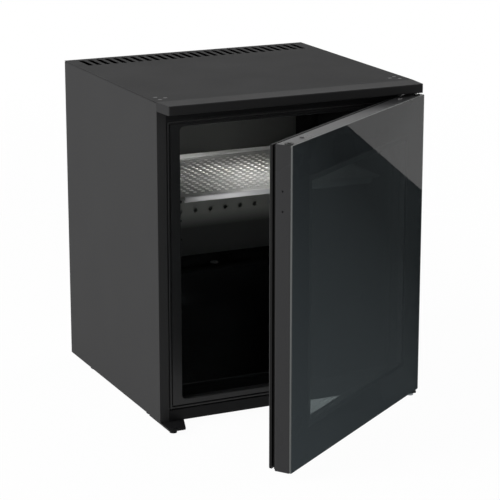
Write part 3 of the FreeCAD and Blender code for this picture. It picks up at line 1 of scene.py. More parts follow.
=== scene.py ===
import bmesh
import bpy
import json
import math
import numpy as np
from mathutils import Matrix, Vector


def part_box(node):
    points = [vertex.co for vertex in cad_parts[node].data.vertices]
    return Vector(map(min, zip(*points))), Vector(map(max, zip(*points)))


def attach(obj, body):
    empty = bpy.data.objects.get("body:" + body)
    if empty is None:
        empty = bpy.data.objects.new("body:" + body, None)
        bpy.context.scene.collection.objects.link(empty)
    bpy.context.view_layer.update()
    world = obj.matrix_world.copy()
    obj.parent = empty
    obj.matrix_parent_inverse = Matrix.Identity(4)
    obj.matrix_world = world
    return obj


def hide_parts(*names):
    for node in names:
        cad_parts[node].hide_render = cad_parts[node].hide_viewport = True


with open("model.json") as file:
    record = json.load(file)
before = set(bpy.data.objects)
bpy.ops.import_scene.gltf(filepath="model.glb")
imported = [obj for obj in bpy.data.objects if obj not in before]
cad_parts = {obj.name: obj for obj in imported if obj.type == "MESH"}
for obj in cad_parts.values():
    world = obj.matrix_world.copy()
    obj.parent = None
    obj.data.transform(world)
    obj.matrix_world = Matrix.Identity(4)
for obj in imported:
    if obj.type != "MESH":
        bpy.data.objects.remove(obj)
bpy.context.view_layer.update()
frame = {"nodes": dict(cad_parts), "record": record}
nodes = frame["nodes"]
print("stage: frame loaded")

# Directions of the door as it stands ajar: along its width towards the hinge, from its front inwards, and up

doorTurn = math.radians(35.5)
doorAlong = np.array([math.cos(doorTurn), math.sin(doorTurn), 0.0])
doorInward = np.array([-math.sin(doorTurn), math.cos(doorTurn), 0.0])
upward = np.array([0.0, 0.0, 1.0])

# Helpers for meshes


def linkObject(name, mesh):
    piece = bpy.data.objects.new(name, mesh)
    bpy.context.scene.collection.objects.link(piece)
    return piece


def meshObject(name, vertices, faces, smooth=False):
    mesh = bpy.data.meshes.new(name)
    mesh.from_pydata(np.asarray(vertices).tolist(), [], np.asarray(faces).tolist())
    mesh.validate()
    mesh.polygons.foreach_set("use_smooth", np.full(len(mesh.polygons), smooth))
    return linkObject(name, mesh)


def meshPoints(node):
    vertices = nodes[node].data.vertices
    points = np.empty(len(vertices) * 3)
    vertices.foreach_get("co", points)
    return points.reshape(-1, 3)


# Faces between rings of points: each ring is joined to the next, point to point, round its closed loop
def ringFaces(ringCount, sides):
    near = np.arange(sides)
    follow = np.roll(near, -1)
    quad = np.column_stack((near, follow, follow + sides, near + sides))
    return (quad[None] + (np.arange(ringCount - 1) * sides)[:, None, None]).reshape(-1, 4)


# One flat loop of points copied to each of several heights
def atHeights(loop, heights):
    return np.concatenate([np.column_stack((loop, np.full(len(loop), height))) for height in heights])


# Rounded rectangle: four straight sides joined by quarter circles, as one closed loop that runs anticlockwise
def roundedLoop(low, high, radius, steps):
    turns = np.linspace(0, math.pi / 2, steps)
    angles = turns[None] + np.arange(4)[:, None] * math.pi / 2
    low, high = np.asarray(low) + radius, np.asarray(high) - radius
    centres = np.array([(high[0], high[1]), (low[0], high[1]), (low[0], low[1]), (high[0], low[1])])
    arcs = np.stack((np.cos(angles), np.sin(angles)), axis=-1) * radius + centres[:, None]
    return arcs.reshape(-1, 2)


# Helpers for shader nodes


def newGroup(name, inputs, outputs):
    group = bpy.data.node_groups.new(name, "ShaderNodeTree")
    for label, kind, value in inputs:
        socket = group.interface.new_socket(name=label, in_out="INPUT", socket_type=kind)
        socket.default_value = value
    for label, kind in outputs:
        group.interface.new_socket(name=label, in_out="OUTPUT", socket_type=kind)
    return group, group.nodes.new("NodeGroupInput"), group.nodes.new("NodeGroupOutput")


def newMaterial(name):
    material = bpy.data.materials.new(name)
    material.use_nodes = True
    tree = material.node_tree
    return material, tree, tree.nodes["Principled BSDF"]


def wire(tree, socket, value):
    if isinstance(value, bpy.types.NodeSocket):
        tree.links.new(value, socket)
    else:
        socket.default_value = value


def addNode(tree, kind, settings=None, **links):
    node = tree.nodes.new(kind)
    for key, value in (settings or {}).items():
        setattr(node, key, value)
    for key, value in links.items():
        number = key[1:]  # i0, i1 and so on name a socket by its number
        wire(tree, node.inputs[int(number) if number.isdigit() else key], value)
    return node


def placeGroup(tree, group, **values):
    return addNode(tree, "ShaderNodeGroup", {"node_tree": group}, **values)


def math2(tree, operation, a, b=0.0):
    return addNode(tree, "ShaderNodeMath", {"operation": operation}, i0=a, i1=b).outputs[0]


def mixColor(tree, factor, a, b, blendType="MIX"):
    settings = {"data_type": "RGBA", "blend_type": blendType}
    return addNode(tree, "ShaderNodeMix", settings, i0=factor, i6=a, i7=b).outputs[2]


def spread(tree, value, low, high, toLow=0.0, toHigh=1.0):
    node = addNode(tree, "ShaderNodeMapRange", {"clamp": True}, i0=value, i1=low, i2=high, i3=toLow, i4=toHigh)
    return node.outputs[0]


def noise(tree, place, scale, detail):
    return addNode(tree, "ShaderNodeTexNoise", Vector=place, Scale=scale, Detail=detail).outputs[0]


def objectPlace(tree):
    return addNode(tree, "ShaderNodeTexCoord").outputs["Object"]


def splitAxes(tree, vector):
    return addNode(tree, "ShaderNodeSeparateXYZ", i0=vector).outputs


def facingAxes(tree):
    return splitAxes(tree, addNode(tree, "ShaderNodeNewGeometry").outputs["Normal"])


# Rays that show a surface to the viewer: straight, mirrored or through glass
def seenRays(tree):
    rays = addNode(tree, "ShaderNodeLightPath").outputs
    mirrored = math2(tree, "MAXIMUM", rays["Is Camera Ray"], rays["Is Glossy Ray"])
    return math2(tree, "MAXIMUM", mirrored, rays["Is Transmission Ray"])


def rgba(color):
    return tuple(color) + (1.0,)


# Grain: two sizes of noise over the surface, a broad one that shifts the colour and a fine one for the bump

grainLook = {"broadScale": 9.0, "broadDetail": 4.0, "fineDetail": 3.0, "middle": 0.5}


def buildGrain(look):
    group, inside, outside = newGroup(
        "grain",
        [
            ("Scale", "NodeSocketFloat", 60.0),
            ("Mottle", "NodeSocketFloat", 0.1),
            ("Color", "NodeSocketColor", (1, 1, 1, 1)),
        ],
        [("Color", "NodeSocketColor"), ("Height", "NodeSocketFloat"), ("Wander", "NodeSocketFloat")],
    )
    place = objectPlace(group)
    broad = noise(group, place, look["broadScale"], look["broadDetail"])
    fine = noise(group, place, inside.outputs["Scale"], look["fineDetail"])
    swing = math2(group, "SUBTRACT", broad, look["middle"])
    lift = math2(group, "MULTIPLY", swing, inside.outputs["Mottle"])
    shade = math2(group, "ADD", lift, 1.0)
    tone = addNode(group, "ShaderNodeCombineColor", i0=shade, i1=shade, i2=shade).outputs[0]
    wire(group, outside.inputs["Color"], mixColor(group, 1.0, inside.outputs["Color"], tone, "MULTIPLY"))
    wire(group, outside.inputs["Height"], fine)
    wire(group, outside.inputs["Wander"], broad)
    return group


# Dust: a thin pale film on faces that look up, broken by noise

dustLook = {
    "upFrom": 0.4,  # how far a face looks up before it takes dust
    "speckScale": 35.0,
    "speckDetail": 6.0,
    "speckFrom": 0.35,
    "speckTo": 0.75,
    "color": (0.45, 0.43, 0.4),
}


def buildDust(look):
    group, inside, outside = newGroup(
        "dust",
        [("Amount", "NodeSocketFloat", 0.1), ("Color", "NodeSocketColor", (1, 1, 1, 1))],
        [("Color", "NodeSocketColor")],
    )
    flat = spread(group, facingAxes(group)[2], look["upFrom"], 1.0)
    speck = noise(group, objectPlace(group), look["speckScale"], look["speckDetail"])
    film = math2(group, "MULTIPLY", flat, spread(group, speck, look["speckFrom"], look["speckTo"]))
    mask = math2(group, "MULTIPLY", film, inside.outputs["Amount"])
    wire(group, outside.inputs["Color"], mixColor(group, mask, inside.outputs["Color"], rgba(look["color"])))
    return group


# Brushing: noise drawn out along the width, for rolled and brushed metal

brushLook = {"detail": 2.0}


def buildBrushing(look):
    group, inside, outside = newGroup(
        "brushing",
        [("Fineness", "NodeSocketFloat", 900.0), ("Stretch", "NodeSocketFloat", 0.02)],
        [("Streak", "NodeSocketFloat")],
    )
    squeeze = addNode(group, "ShaderNodeCombineXYZ", i0=inside.outputs["Stretch"], i1=1.0, i2=1.0).outputs[0]
    settings = {"operation": "MULTIPLY"}
    pulled = addNode(group, "ShaderNodeVectorMath", settings, i0=objectPlace(group), i1=squeeze).outputs[0]
    wire(group, outside.inputs["Streak"], noise(group, pulled, inside.outputs["Fineness"], look["detail"]))
    return group


grainGroup = buildGrain(grainLook)
dustGroup = buildDust(dustLook)
brushGroup = buildBrushing(brushLook)
print("stage: shared effects built")


# Painted light: a pale band of painted light that is strongest at one height and fades away above and below it
def paintedLightBand(tree, tone, lightBand):
    height = splitAxes(tree, objectPlace(tree))[2]
    distance = math2(tree, "ABSOLUTE", math2(tree, "SUBTRACT", height, lightBand["level"]))
    return mixColor(tree, spread(tree, distance, lightBand["reach"], lightBand["core"]), tone, rgba(lightBand["color"]))


# Seal lip highlight: a paler strip of painted highlight along the side of the seal that meets the cabinet,
# measured square to the door
def sealLipHighlight(tree, tone, lip):
    deepest = float((meshPoints("gasket") @ doorInward).max())
    settings = {"operation": "DOT_PRODUCT"}
    depth = addNode(tree, "ShaderNodeVectorMath", settings, i0=objectPlace(tree), i1=tuple(doorInward))
    mask = math2(tree, "GREATER_THAN", depth.outputs["Value"], deepest - lip["depth"])
    return mixColor(tree, mask, tone, rgba(lip["color"]))


# Painted shade: near-black colour on faces that look forward inside the rear apron, under the vents, where
# shade falls
def paintedShadeInside(tree, tone, insideShade):
    spot = splitAxes(tree, objectPlace(tree))
    forward = math2(tree, "LESS_THAN", facingAxes(tree)[1], insideShade["facing"])
    below = math2(tree, "LESS_THAN", spot[2], insideShade["below"])
    behind = math2(tree, "GREATER_THAN", spot[1], insideShade["behind"])
    mask = math2(tree, "MULTIPLY", forward, math2(tree, "MULTIPLY", below, behind))
    return mixColor(tree, mask, tone, rgba(insideShade["color"]))


# One material per finish: colour with mottle, roughness that wanders and a fine bump

overlays = {"lightBand": paintedLightBand, "lip": sealLipHighlight, "insideShade": paintedShadeInside}
roughSwing = {"from": 0.3, "to": 0.7, "share": 0.05, "brushed": 0.06}


def surface(name, finish):
    material, tree, shader = newMaterial(name)
    color = rgba(finish["color"])
    grain = placeGroup(tree, grainGroup, Scale=finish["scale"], Mottle=finish["mottle"], Color=color)
    tone = grain.outputs["Color"]
    if "dust" in finish:
        tone = placeGroup(tree, dustGroup, Amount=finish["dust"], Color=tone).outputs["Color"]
    for key, overlay in overlays.items():
        if key in finish:
            tone = overlay(tree, tone, finish[key])
    wire(tree, shader.inputs["Base Color"], tone)
    low, high, share, brushed = roughSwing.values()
    smoothest, roughest = finish["rough"] * (1 - share), finish["rough"] * (1 + share)
    rough = spread(tree, grain.outputs["Wander"], low, high, smoothest, roughest)
    height = grain.outputs["Height"]
    if "brush" in finish:
        height = placeGroup(tree, brushGroup, Fineness=finish["brush"]).outputs["Streak"]
        rough = math2(tree, "ADD", rough, spread(tree, height, low, high, -brushed, brushed))
    wire(tree, shader.inputs["Roughness"], rough)
    bump = addNode(tree, "ShaderNodeBump", Strength=finish["bump"], Distance=finish["depth"], Height=height)
    wire(tree, shader.inputs["Normal"], bump.outputs[0])
    shader.inputs["Metallic"].default_value = finish.get("metal", 0.0)
    shader.inputs["Specular IOR Level"].default_value = finish.get("shine", 0.5)
    if "glow" in finish:
        wire(tree, shader.inputs["Emission Color"], grain.outputs["Color"])
        shader.inputs["Emission Strength"].default_value = finish["glow"]
    return material


def glazing(name, finish):
    material, tree, shader = newMaterial(name)
    color = rgba(finish["color"])
    grain = placeGroup(tree, grainGroup, Scale=finish["scale"], Mottle=finish["mottle"], Color=color)
    wire(tree, shader.inputs["Base Color"], grain.outputs["Color"])
    shader.inputs["Roughness"].default_value = 0.0
    shader.inputs["Transmission Weight"].default_value = 1.0
    shader.inputs["IOR"].default_value = finish["ior"]
    return material


finishes = {
    "cabinet_paint": {
        "color": (0.042, 0.042, 0.0425), "rough": 0.55, "scale": 900.0, "mottle": 0.015, "bump": 0.12,
        "depth": 0.0006, "shine": 0.014,
        # painted shade: near-black colour inside the rear apron under the vents, where shade falls
        "insideShade": {"facing": -0.5, "below": 0.579, "behind": 0.15, "color": (0.002, 0.002, 0.002)},
    },
    "dark_paint": {
        "color": (0.009, 0.009, 0.0095), "rough": 0.5, "scale": 700.0, "mottle": 0.15, "bump": 0.1,
        "depth": 0.0006, "shine": 0.1,
    },
    "bay_paint": {
        "color": (0.014, 0.014, 0.015), "rough": 0.5, "scale": 700.0, "mottle": 0.15, "bump": 0.1,
        "depth": 0.0006, "shine": 0.1, "dust": 0.2,
    },
    "zinc_steel": {
        "color": (0.42, 0.42, 0.41), "rough": 0.42, "scale": 300.0, "mottle": 0.3, "bump": 0.1,
        "depth": 0.0004, "metal": 1.0,
    },
    "dark_zinc": {
        "color": (0.1, 0.1, 0.1), "rough": 0.55, "scale": 500.0, "mottle": 0.2, "bump": 0.1,
        "depth": 0.0004, "metal": 0.8,
    },
    "foam": {
        "color": (0.6, 0.52, 0.34), "rough": 0.9, "scale": 120.0, "mottle": 0.2, "bump": 0.4,
        "depth": 0.001,
    },
    "black_liner": {
        "color": (0.006, 0.006, 0.0065), "rough": 0.14, "scale": 500.0, "mottle": 0.15, "bump": 0.02,
        "depth": 0.0004, "shine": 0.4,
    },
    "frame_black": {
        "color": (0.016, 0.016, 0.0165), "rough": 0.3, "scale": 900.0, "mottle": 0.1, "bump": 0.05,
        "depth": 0.0004, "shine": 0.26,
    },
    "black_trim": {
        "color": (0.008, 0.008, 0.0085), "rough": 0.5, "scale": 1200.0, "mottle": 0.1, "bump": 0.15,
        "depth": 0.0005, "shine": 0.08,
    },
    "grey_plastic": {
        "color": (0.2, 0.205, 0.205), "rough": 0.5, "scale": 800.0, "mottle": 0.06, "bump": 0.1,
        "depth": 0.0005, "shine": 0.2,
    },
    "header_grey": {
        "color": (0.026, 0.026, 0.0265), "rough": 0.5, "scale": 1200.0, "mottle": 0.04, "bump": 0.12,
        "depth": 0.0005, "shine": 0.04,
    },
    "panel_grey": {
        "color": (0.09, 0.092, 0.091), "rough": 0.5, "scale": 800.0, "mottle": 0.06, "bump": 0.1,
        "depth": 0.0005, "shine": 0.15,
        # painted light: a pale band across the panel at one height, standing in for light falling on it
        "lightBand": {"level": 0.302, "core": 0.012, "reach": 0.04, "color": (0.5, 0.51, 0.48)},
    },
    "pale_lens": {
        "color": (0.75, 0.75, 0.72), "rough": 0.3, "scale": 400.0, "mottle": 0.04, "bump": 0.05,
        "depth": 0.0004, "glow": 17.0,
    },
    "cold_plate": {
        "color": (0.6, 0.61, 0.62), "rough": 0.35, "scale": 300.0, "mottle": 0.1, "bump": 0.08,
        "depth": 0.0004, "metal": 1.0,
    },
    "shelf_steel": {
        "color": (0.85, 0.85, 0.845), "rough": 0.32, "scale": 300.0, "mottle": 0.05, "bump": 0.04,
        "depth": 0.0003, "metal": 0.6, "brush": 700.0,
    },
    # lit copy of shelf_steel: the same steel made paler and less metallic on the lip, as painted light
    "lit_lip_steel": {
        "color": (0.97, 0.97, 0.965), "rough": 0.36, "scale": 300.0, "mottle": 0.05, "bump": 0.04,
        "depth": 0.0003, "metal": 0.2, "brush": 700.0,
    },
    "door_profile": {
        "color": (0.03, 0.03, 0.031), "rough": 0.28, "scale": 900.0, "mottle": 0.06, "bump": 0.06,
        "depth": 0.0004, "shine": 0.1,
    },
    "glass_edge": {
        "color": (0.09, 0.095, 0.093), "rough": 0.4, "scale": 700.0, "mottle": 0.1, "bump": 0.05,
        "depth": 0.0003, "shine": 0.3,
    },
    "nylon": {
        "color": (0.012, 0.012, 0.012), "rough": 0.55, "scale": 600.0, "mottle": 0.1, "bump": 0.1,
        "depth": 0.0004, "shine": 0.2,
    },
    "spacer": {
        "color": (0.045, 0.045, 0.045), "rough": 0.4, "scale": 600.0, "mottle": 0.1, "bump": 0.05,
        "depth": 0.0003, "shine": 0.2,
    },
    "black_rubber": {
        "color": (0.012, 0.012, 0.0125), "rough": 0.6, "scale": 700.0, "mottle": 0.15, "bump": 0.15,
        "depth": 0.0005, "shine": 0.12,
    },
    "seal_grey": {
        "color": (0.006, 0.006, 0.006), "rough": 0.5, "scale": 700.0, "mottle": 0.1, "bump": 0.1,
        # the lip's paler colour is a painted highlight on the dark rubber seal
        "depth": 0.0004, "shine": 0.1, "lip": {"depth": 0.0014, "color": (0.07, 0.07, 0.071)},
    },
    "magnet": {
        "color": (0.03, 0.028, 0.026), "rough": 0.6, "scale": 500.0, "mottle": 0.1, "bump": 0.1,
        "depth": 0.0004,
    },
    "copper": {
        "color": (0.62, 0.3, 0.17), "rough": 0.34, "scale": 200.0, "mottle": 0.35, "bump": 0.05,
        "depth": 0.0003, "metal": 1.0,
    },
}
glasses = {
    "smoked_glass": {"color": (0.1, 0.112, 0.113), "scale": 40.0, "mottle": 0.02, "ior": 1.27},
    "clear_glass": {"color": (0.88, 0.92, 0.91), "scale": 40.0, "mottle": 0.02, "ior": 1.1},
}
ownFinish = {  # pieces whose finish differs from the rest of their slot
    "front_frame": "frame_black",
    "header_trim": "header_grey",
    "rear_air_panel": "panel_grey",
    "compressor": "bay_paint",
    "condenser": "bay_paint",
    "gasket": "seal_grey",
    "upper_hinge_screws": "dark_zinc",
    "lower_hinge_screws": "dark_zinc",
    "door_screws": "dark_zinc",
}
materials = {name: surface(name, finish) for name, finish in finishes.items()}
materials.update({name: glazing(name, finish) for name, finish in glasses.items()})
for entry in frame["record"]["subparts"]:
    piece = nodes[entry["node"]]
    piece.data.materials.clear()
    piece.data.materials.append(materials[ownFinish.get(entry["node"], entry["material_slot"])])
print("stage: finishes set")

# Shelf: a sheet with a square grid of round holes, a rolled lip along the front and a low upstand behind

shelfSizes = {
    "pitch": 0.015,
    "columns": 25,
    "rows": 16,
    "firstRow": 0.027,  # first row behind the front edge
    "holeRadius": 0.0027,
    "rimWidth": 0.0013,
    "rimRise": 0.0009,
    "rimCrest": 0.45,  # place of the crest, as a share of the rim's width from the hole
    "rimFall": 0.2,  # fall from the crest to the hole, as a share of the rim's width
    "sides": 12,
    "sheet": 0.0012,
    "lipInset": 0.02,
    "lipDrop": 0.0105,
    "lipBend": 0.0028,
    "lipRoll": 0.0034,
    "bendPoints": 9,
    "rollPoints": 15,
}


# Flat strips of sheet, top and underside, for boxes given as rows of x0, x1, y0, y1
def sheetStrips(boxes, top, bottom):
    boxes = np.asarray(boxes)
    x, y = boxes[:, [0, 1, 1, 0]], boxes[:, [2, 2, 3, 3]]
    upper = np.stack((x, y, np.full_like(x, top)), axis=-1)
    lower = np.stack((x, y, np.full_like(x, bottom)), axis=-1)[:, ::-1]
    vertices = np.concatenate((upper, lower), axis=1).reshape(-1, 3)
    return vertices, np.arange(len(vertices)).reshape(-1, 4)


# Each hole's cell: a square border, then circles that climb the rim, cross it and go down through the sheet
def holeCell(sizes, top):
    count, hole, rim = sizes["sides"], sizes["holeRadius"], sizes["rimWidth"]
    angles = (np.arange(count) + 0.5) * 2 * math.pi / count
    circle = np.column_stack((np.cos(angles), np.sin(angles)))
    square = circle / np.abs(circle).max(axis=1)[:, None] * sizes["pitch"] / 2
    under = top - sizes["sheet"]
    crest = top + sizes["rimRise"]
    rings = [
        (square, top),
        (circle * (hole + rim), top),
        (circle * (hole + rim * sizes["rimCrest"]), crest),
        (circle * hole, crest - rim * sizes["rimFall"]),
        (circle * hole, under),
        (square, under),
    ]
    return np.concatenate([atHeights(ring, [z]) for ring, z in rings]), len(rings)


# The sheet: one hole's cell repeated over the grid, and plain strips from the grid to the shelf's four edges
def shelfSheet(sizes):
    low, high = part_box("shelf")
    top = low[2] + sizes["lipDrop"]
    pitch, columns, rows = sizes["pitch"], sizes["columns"], sizes["rows"]
    cell, ringCount = holeCell(sizes, top)
    x = (np.arange(columns) - (columns - 1) / 2) * pitch
    y = low[1] + sizes["firstRow"] + np.arange(rows) * pitch
    centres = np.stack(np.meshgrid(x, y, [0.0], indexing="ij"), axis=-1).reshape(-1, 1, 3)
    vertices = (cell[None] + centres).reshape(-1, 3)
    cellFaces = ringFaces(ringCount, sizes["sides"])
    faces = (cellFaces[None] + (np.arange(len(centres)) * len(cell))[:, None, None]).reshape(-1, 4)
    side, front, rear = columns * pitch / 2, y[0] - pitch / 2, y[-1] + pitch / 2
    strips = [
        (low[0], -side, front, rear),
        (side, high[0], front, rear),
        (low[0], high[0], low[1] + sizes["lipBend"], front),
        (low[0], high[0], rear, high[1]),
    ]
    border, borderFaces = sheetStrips(strips, top, top - sizes["sheet"])
    faces = np.concatenate((faces, borderFaces + len(vertices)))
    return meshObject("shelfSheet", np.concatenate((vertices, border)), faces)


# The lip's section turns down through a quarter circle, drops and rolls back under in a half circle,
# and it is carried straight across the shelf
def shelfLip(sizes):
    low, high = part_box("shelf")
    top = low[2] + sizes["lipDrop"]
    bend, roll = sizes["lipBend"], sizes["lipRoll"]

    def arcs(inset):
        down = np.linspace(math.pi / 2, math.pi, sizes["bendPoints"])
        under = np.linspace(math.pi, 2 * math.pi, sizes["rollPoints"])
        front = np.column_stack((np.cos(down), np.sin(down))) * (bend - inset) + (low[1] + bend, top - bend)
        curl = np.column_stack((np.cos(under), np.sin(under))) * (roll - inset) + (low[1] + roll, low[2] + roll)
        return np.concatenate((front, curl))

    section = np.concatenate((arcs(0.0), arcs(sizes["sheet"])[::-1]))
    count = len(section)
    ends = (low[0] + sizes["lipInset"], high[0] - sizes["lipInset"])
    vertices = np.concatenate([np.column_stack((np.full(count, x), section)) for x in ends])
    near = np.arange(count // 2 - 1)
    cap = np.column_stack((near, near + 1, count - 2 - near, count - 1 - near))
    faces = np.concatenate((ringFaces(2, count), cap[:, ::-1], cap + count))
    return meshObject("shelfLip", vertices, faces, smooth=True)


# The upstand is a plain strip of sheet on edge along the rear, as high as the shelf's box
def shelfUpstand(sizes):
    low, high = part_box("shelf")
    front, top = high[1] - sizes["sheet"], low[2] + sizes["lipDrop"]
    base = np.array([(low[0], front), (high[0], front), (high[0], high[1]), (low[0], high[1])])
    faces = np.concatenate((ringFaces(2, 4), [[3, 2, 1, 0], [4, 5, 6, 7]]))
    return meshObject("shelfUpstand", atHeights(base, (top, high[2])), faces)


shelfPieces = (
    (shelfSheet(shelfSizes), "shelf_steel"),
    # the lip takes the paler, lit copy of the shelf steel, as painted light
    (shelfLip(shelfSizes), "lit_lip_steel"),
    (shelfUpstand(shelfSizes), "shelf_steel"),
)
for piece, finish in shelfPieces:
    piece.data.materials.append(materials[finish])
    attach(piece, "shelf_tray")
    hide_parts("shelf")
print("stage: shelf built")

# Ground edge of the door's front pane: a thin pale band round the pane and over its front bevel

edgeSizes = {"round": 0.002, "bevel": 0.0006, "proud": 0.00003, "cornerSteps": 6}


def glassEdge(sizes):
    pivot = np.array(frame["record"]["behaviour"]["joints"][0]["pos_m"]) * (1.0, 1.0, 0.0)
    local = (meshPoints("door_glass") - pivot) @ np.column_stack((doorAlong, doorInward, upward))
    low, high = local.min(axis=0), local.max(axis=0)
    front, rear, proud, bevel = low[1], high[1], sizes["proud"], sizes["bevel"]
    insets = [(-proud, rear - bevel), (-proud, front + bevel - proud), (bevel - proud, front - proud)]
    rings = []
    for inset, depth in insets:
        loop = roundedLoop(low[::2] + inset, high[::2] - inset, sizes["round"] - inset, sizes["cornerSteps"])
        rings.append(loop[:, :1] * doorAlong + depth * doorInward + loop[:, 1:] * upward)
    piece = meshObject("glassEdge", np.concatenate(rings) + pivot, ringFaces(len(rings), len(rings[0])))
    piece.data.materials.append(materials["glass_edge"])
    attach(piece, "door")


glassEdge(edgeSizes)
print("stage: glass edge built")

# Vents in the top: the row of round-ended slots is cut again, wider, through a copy of the top sheet

ventSizes = {
    "count": 27,
    "side": 0.0274,  # from the sheet's side to the middle of the first slot
    "width": 0.0104,
    "length": 0.056,
    "edge": 0.013,  # from the sheet's rear to the slots
    "endRound": 0.98,  # radius of the ends, as a share of half the width
    "cornerSteps": 7,
    "depth": 0.002,
    "weld": 0.000001,
}


# The cutter: one slot's loop at two heights, with walls, bottom and top, repeated along the row
def ventCutter(sizes):
    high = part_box("top_panel")[1]
    half, rear, top = sizes["width"] / 2, high[1] - sizes["edge"], high[2]
    front = rear - sizes["length"]
    loop = roundedLoop((-half, front), (half, rear), half * sizes["endRound"], sizes["cornerSteps"])
    slot = atHeights(loop, (top - sizes["depth"], top + sizes["depth"]))
    first = high[0] - sizes["side"]
    places = np.zeros((sizes["count"], 1, 3))
    places[:, 0, 0] = np.linspace(-first, first, sizes["count"])
    starts = (np.arange(sizes["count"]) * len(slot))[:, None, None]
    walls = (ringFaces(2, len(loop))[None] + starts).reshape(-1, 4).tolist()
    bottoms = (np.arange(len(loop))[::-1][None] + starts[:, 0]).tolist()
    tops = (np.arange(len(loop), 2 * len(loop))[None] + starts[:, 0]).tolist()
    mesh = bpy.data.meshes.new("ventCutter")
    mesh.from_pydata((slot[None] + places).reshape(-1, 3).tolist(), [], walls + bottoms + tops)
    return linkObject("ventCutter", mesh)


def wideVents(sizes):
    mesh = nodes["top_panel"].data.copy()
    merged = bmesh.new()
    merged.from_mesh(mesh)
    bmesh.ops.remove_doubles(merged, verts=merged.verts, dist=sizes["weld"])
    merged.to_mesh(mesh)
    merged.free()
    cutter = ventCutter(sizes)
    piece = linkObject("topSheet", mesh)
    cut = piece.modifiers.new("vents", "BOOLEAN")
    cut.operation = "DIFFERENCE"
    cut.object = cutter
    cut.solver = "EXACT"
    finished = piece.evaluated_get(bpy.context.evaluated_depsgraph_get())
    piece.data = bpy.data.meshes.new_from_object(finished)
    piece.modifiers.clear()
    bpy.data.objects.remove(cutter)
    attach(piece, "cabinet")
    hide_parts("top_panel")


wideVents(ventSizes)
print("stage: vents cut")

# Half-round bead round the front frame: half an ellipse carried round the frame between its two grooves

beadSizes = {
    "width": 0.0026,
    "rise": 0.0003,
    "round": 0.006,
    "steps": 9,
    "cornerSteps": 8,
    "level": 0.00005,  # points this near to the foremost one are on the frame's crest
}


def frameBead(sizes):
    points = meshPoints("front_frame")
    face = points[:, 1].min()
    crest = points[points[:, 1] < face + sizes["level"]][:, ::2]
    low, high = crest.min(axis=0), crest.max(axis=0)
    across = (1 - np.cos(np.linspace(0, math.pi, sizes["steps"]))) / 2
    rises = sizes["rise"] * 2 * np.sqrt(across * (1 - across))
    rings = []
    for inset, rise in zip(across * sizes["width"], rises):
        loop = roundedLoop(low + inset, high - inset, sizes["round"] - inset, sizes["cornerSteps"])
        rings.append(np.column_stack((loop[:, 0], np.full(len(loop), face - rise), loop[:, 1])))
    piece = meshObject("frameBead", np.concatenate(rings), ringFaces(len(rings), len(rings[0])), smooth=True)
    piece.data.materials.append(materials["frame_black"])
    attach(piece, "cabinet")


frameBead(beadSizes)
print("stage: frame bead built")

# Floor: a white sheet that fades away into the white surroundings

floorSizes = {
    "reach": 6.0,
    "fadeFrom": 1.2,
    "fadeTo": 3.0,
    "white": 0.97,  # share of plain white where the viewer sees the floor; the rest shows shadows
    "color": (0.93, 0.93, 0.93),
    "rough": 0.9,
    "shine": 0.1,
}


def buildFloor(sizes):
    reach = sizes["reach"]
    corners = np.array([(-reach, -reach, 0), (reach, -reach, 0), (reach, reach, 0), (-reach, reach, 0)])
    floor = meshObject("floor", corners, np.array([[0, 1, 2, 3]]))
    material, tree, shader = newMaterial("floor")
    shader.inputs["Base Color"].default_value = rgba(sizes["color"])
    shader.inputs["Roughness"].default_value = sizes["rough"]
    shader.inputs["Specular IOR Level"].default_value = sizes["shine"]
    away = addNode(tree, "ShaderNodeVectorMath", {"operation": "LENGTH"}, i0=objectPlace(tree)).outputs["Value"]
    white = addNode(tree, "ShaderNodeEmission", Color=(1, 1, 1, 1), Strength=1.0)
    clear = addNode(tree, "ShaderNodeBsdfTransparent")
    lift = math2(tree, "MULTIPLY", seenRays(tree), sizes["white"])
    fade = spread(tree, away, sizes["fadeFrom"], sizes["fadeTo"])
    lifted = addNode(tree, "ShaderNodeMixShader", i0=lift, i1=shader.outputs[0], i2=white.outputs[0])
    faded = addNode(tree, "ShaderNodeMixShader", i0=fade, i1=lifted.outputs[0], i2=clear.outputs[0])
    wire(tree, tree.nodes["Material Output"].inputs[0], faded.outputs[0])
    floor.data.materials.append(material)


# Dark card on the floor at the right, seen in reflections alone; its far edge gives the slant on the glass

cardSizes = {
    "corners": ((-0.4, -2.5), (4.5, -2.5), (4.5, -0.1653), (0.778, 0.1343), (-0.4, -0.706)),
    "height": 0.0004,
    "nearPlace": -0.55,
    "farPlace": -0.1,
    "nearGlow": 0.53,
    "farGlow": 0.112,
    "color": (0.82, 1.0, 1.09),
}


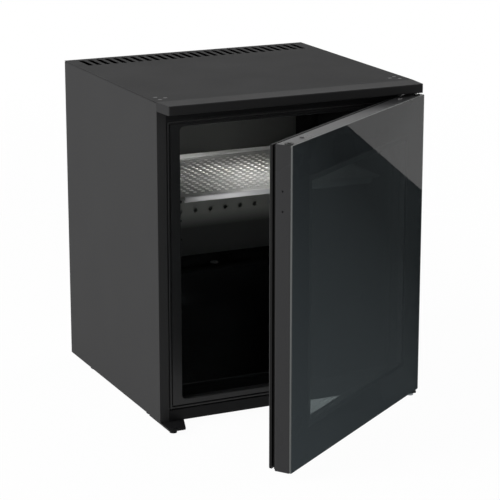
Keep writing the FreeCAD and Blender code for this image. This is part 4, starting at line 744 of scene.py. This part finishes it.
def buildCard(sizes):
    corners = atHeights(np.array(sizes["corners"]), [sizes["height"]])
    card = meshObject("card", corners, np.arange(len(corners))[None])
    material, tree, shader = newMaterial("card")
    tree.nodes.remove(shader)
    across = splitAxes(tree, objectPlace(tree))[1]
    shade = spread(tree, across, sizes["nearPlace"], sizes["farPlace"], sizes["nearGlow"], sizes["farGlow"])
    glow = addNode(tree, "ShaderNodeEmission", Color=rgba(sizes["color"]), Strength=shade)
    wire(tree, tree.nodes["Material Output"].inputs[0], glow.outputs[0])
    material.cycles.emission_sampling = "NONE"
    card.data.materials.append(material)
    card.visible_camera = False
    card.visible_diffuse = False
    card.visible_transmission = False
    card.visible_shadow = False


# Surroundings: plain white where the viewer sees them, and dimmer as a source of light

skyLook = {"ambient": 0.2, "seen": 1.0}


def buildWorld(look):
    world = bpy.data.worlds.new("studio")
    bpy.context.scene.world = world
    world.use_nodes = True
    tree = world.node_tree
    tree.nodes.clear()
    strength = spread(tree, seenRays(tree), 0.0, 1.0, look["ambient"], look["seen"])
    sky = addNode(tree, "ShaderNodeBackground", Color=(1, 1, 1, 1), Strength=strength)
    wire(tree, addNode(tree, "ShaderNodeOutputWorld").inputs[0], sky.outputs[0])


lampAim = (0.0, 0.0, 0.3)
lamps = {
    "key": {"place": (-3.0, -0.2, 1.7), "size": 2.0, "power": 105.0},
    "top": {"place": (0.0, 0.3, 3.4), "size": 1.6, "power": 1.0},
    "fill": {"place": (1.2, -3.4, 1.6), "size": 2.0, "power": 9.0},
    "side": {"place": (3.3, 0.5, 0.62), "size": 1.2, "power": 100.0},  # for the views of the right side
}


def areaLamp(name, sizes):
    lamp = bpy.data.lights.new(name, "AREA")
    lamp.size = sizes["size"]
    lamp.energy = sizes["power"]
    item = linkObject(name, lamp)
    item.location = sizes["place"]
    item.rotation_euler = (Vector(lampAim) - item.location).to_track_quat("-Z", "Y").to_euler()


cameraSizes = {
    "place": (-1.5289, -3.3301, 1.2381),
    "turn": (1.30527, 0.0, -0.4382),
    "lens": 147.365,
    "sensor": 36.0,
    "clipEnd": 100.0,
}


def buildCamera(sizes):
    view = bpy.data.cameras.new("camera")
    view.lens = sizes["lens"]
    view.sensor_width = sizes["sensor"]
    view.clip_end = sizes["clipEnd"]
    camera = linkObject("camera", view)
    camera.location = sizes["place"]
    camera.rotation_euler = sizes["turn"]
    bpy.context.scene.camera = camera


buildFloor(floorSizes)
buildCard(cardSizes)
buildWorld(skyLook)
for name, sizes in lamps.items():
    areaLamp(name, sizes)
buildCamera(cameraSizes)
bpy.context.scene.view_settings.view_transform = "Standard"
print("stage: floor, light and camera set")

print("stage: scene ready")
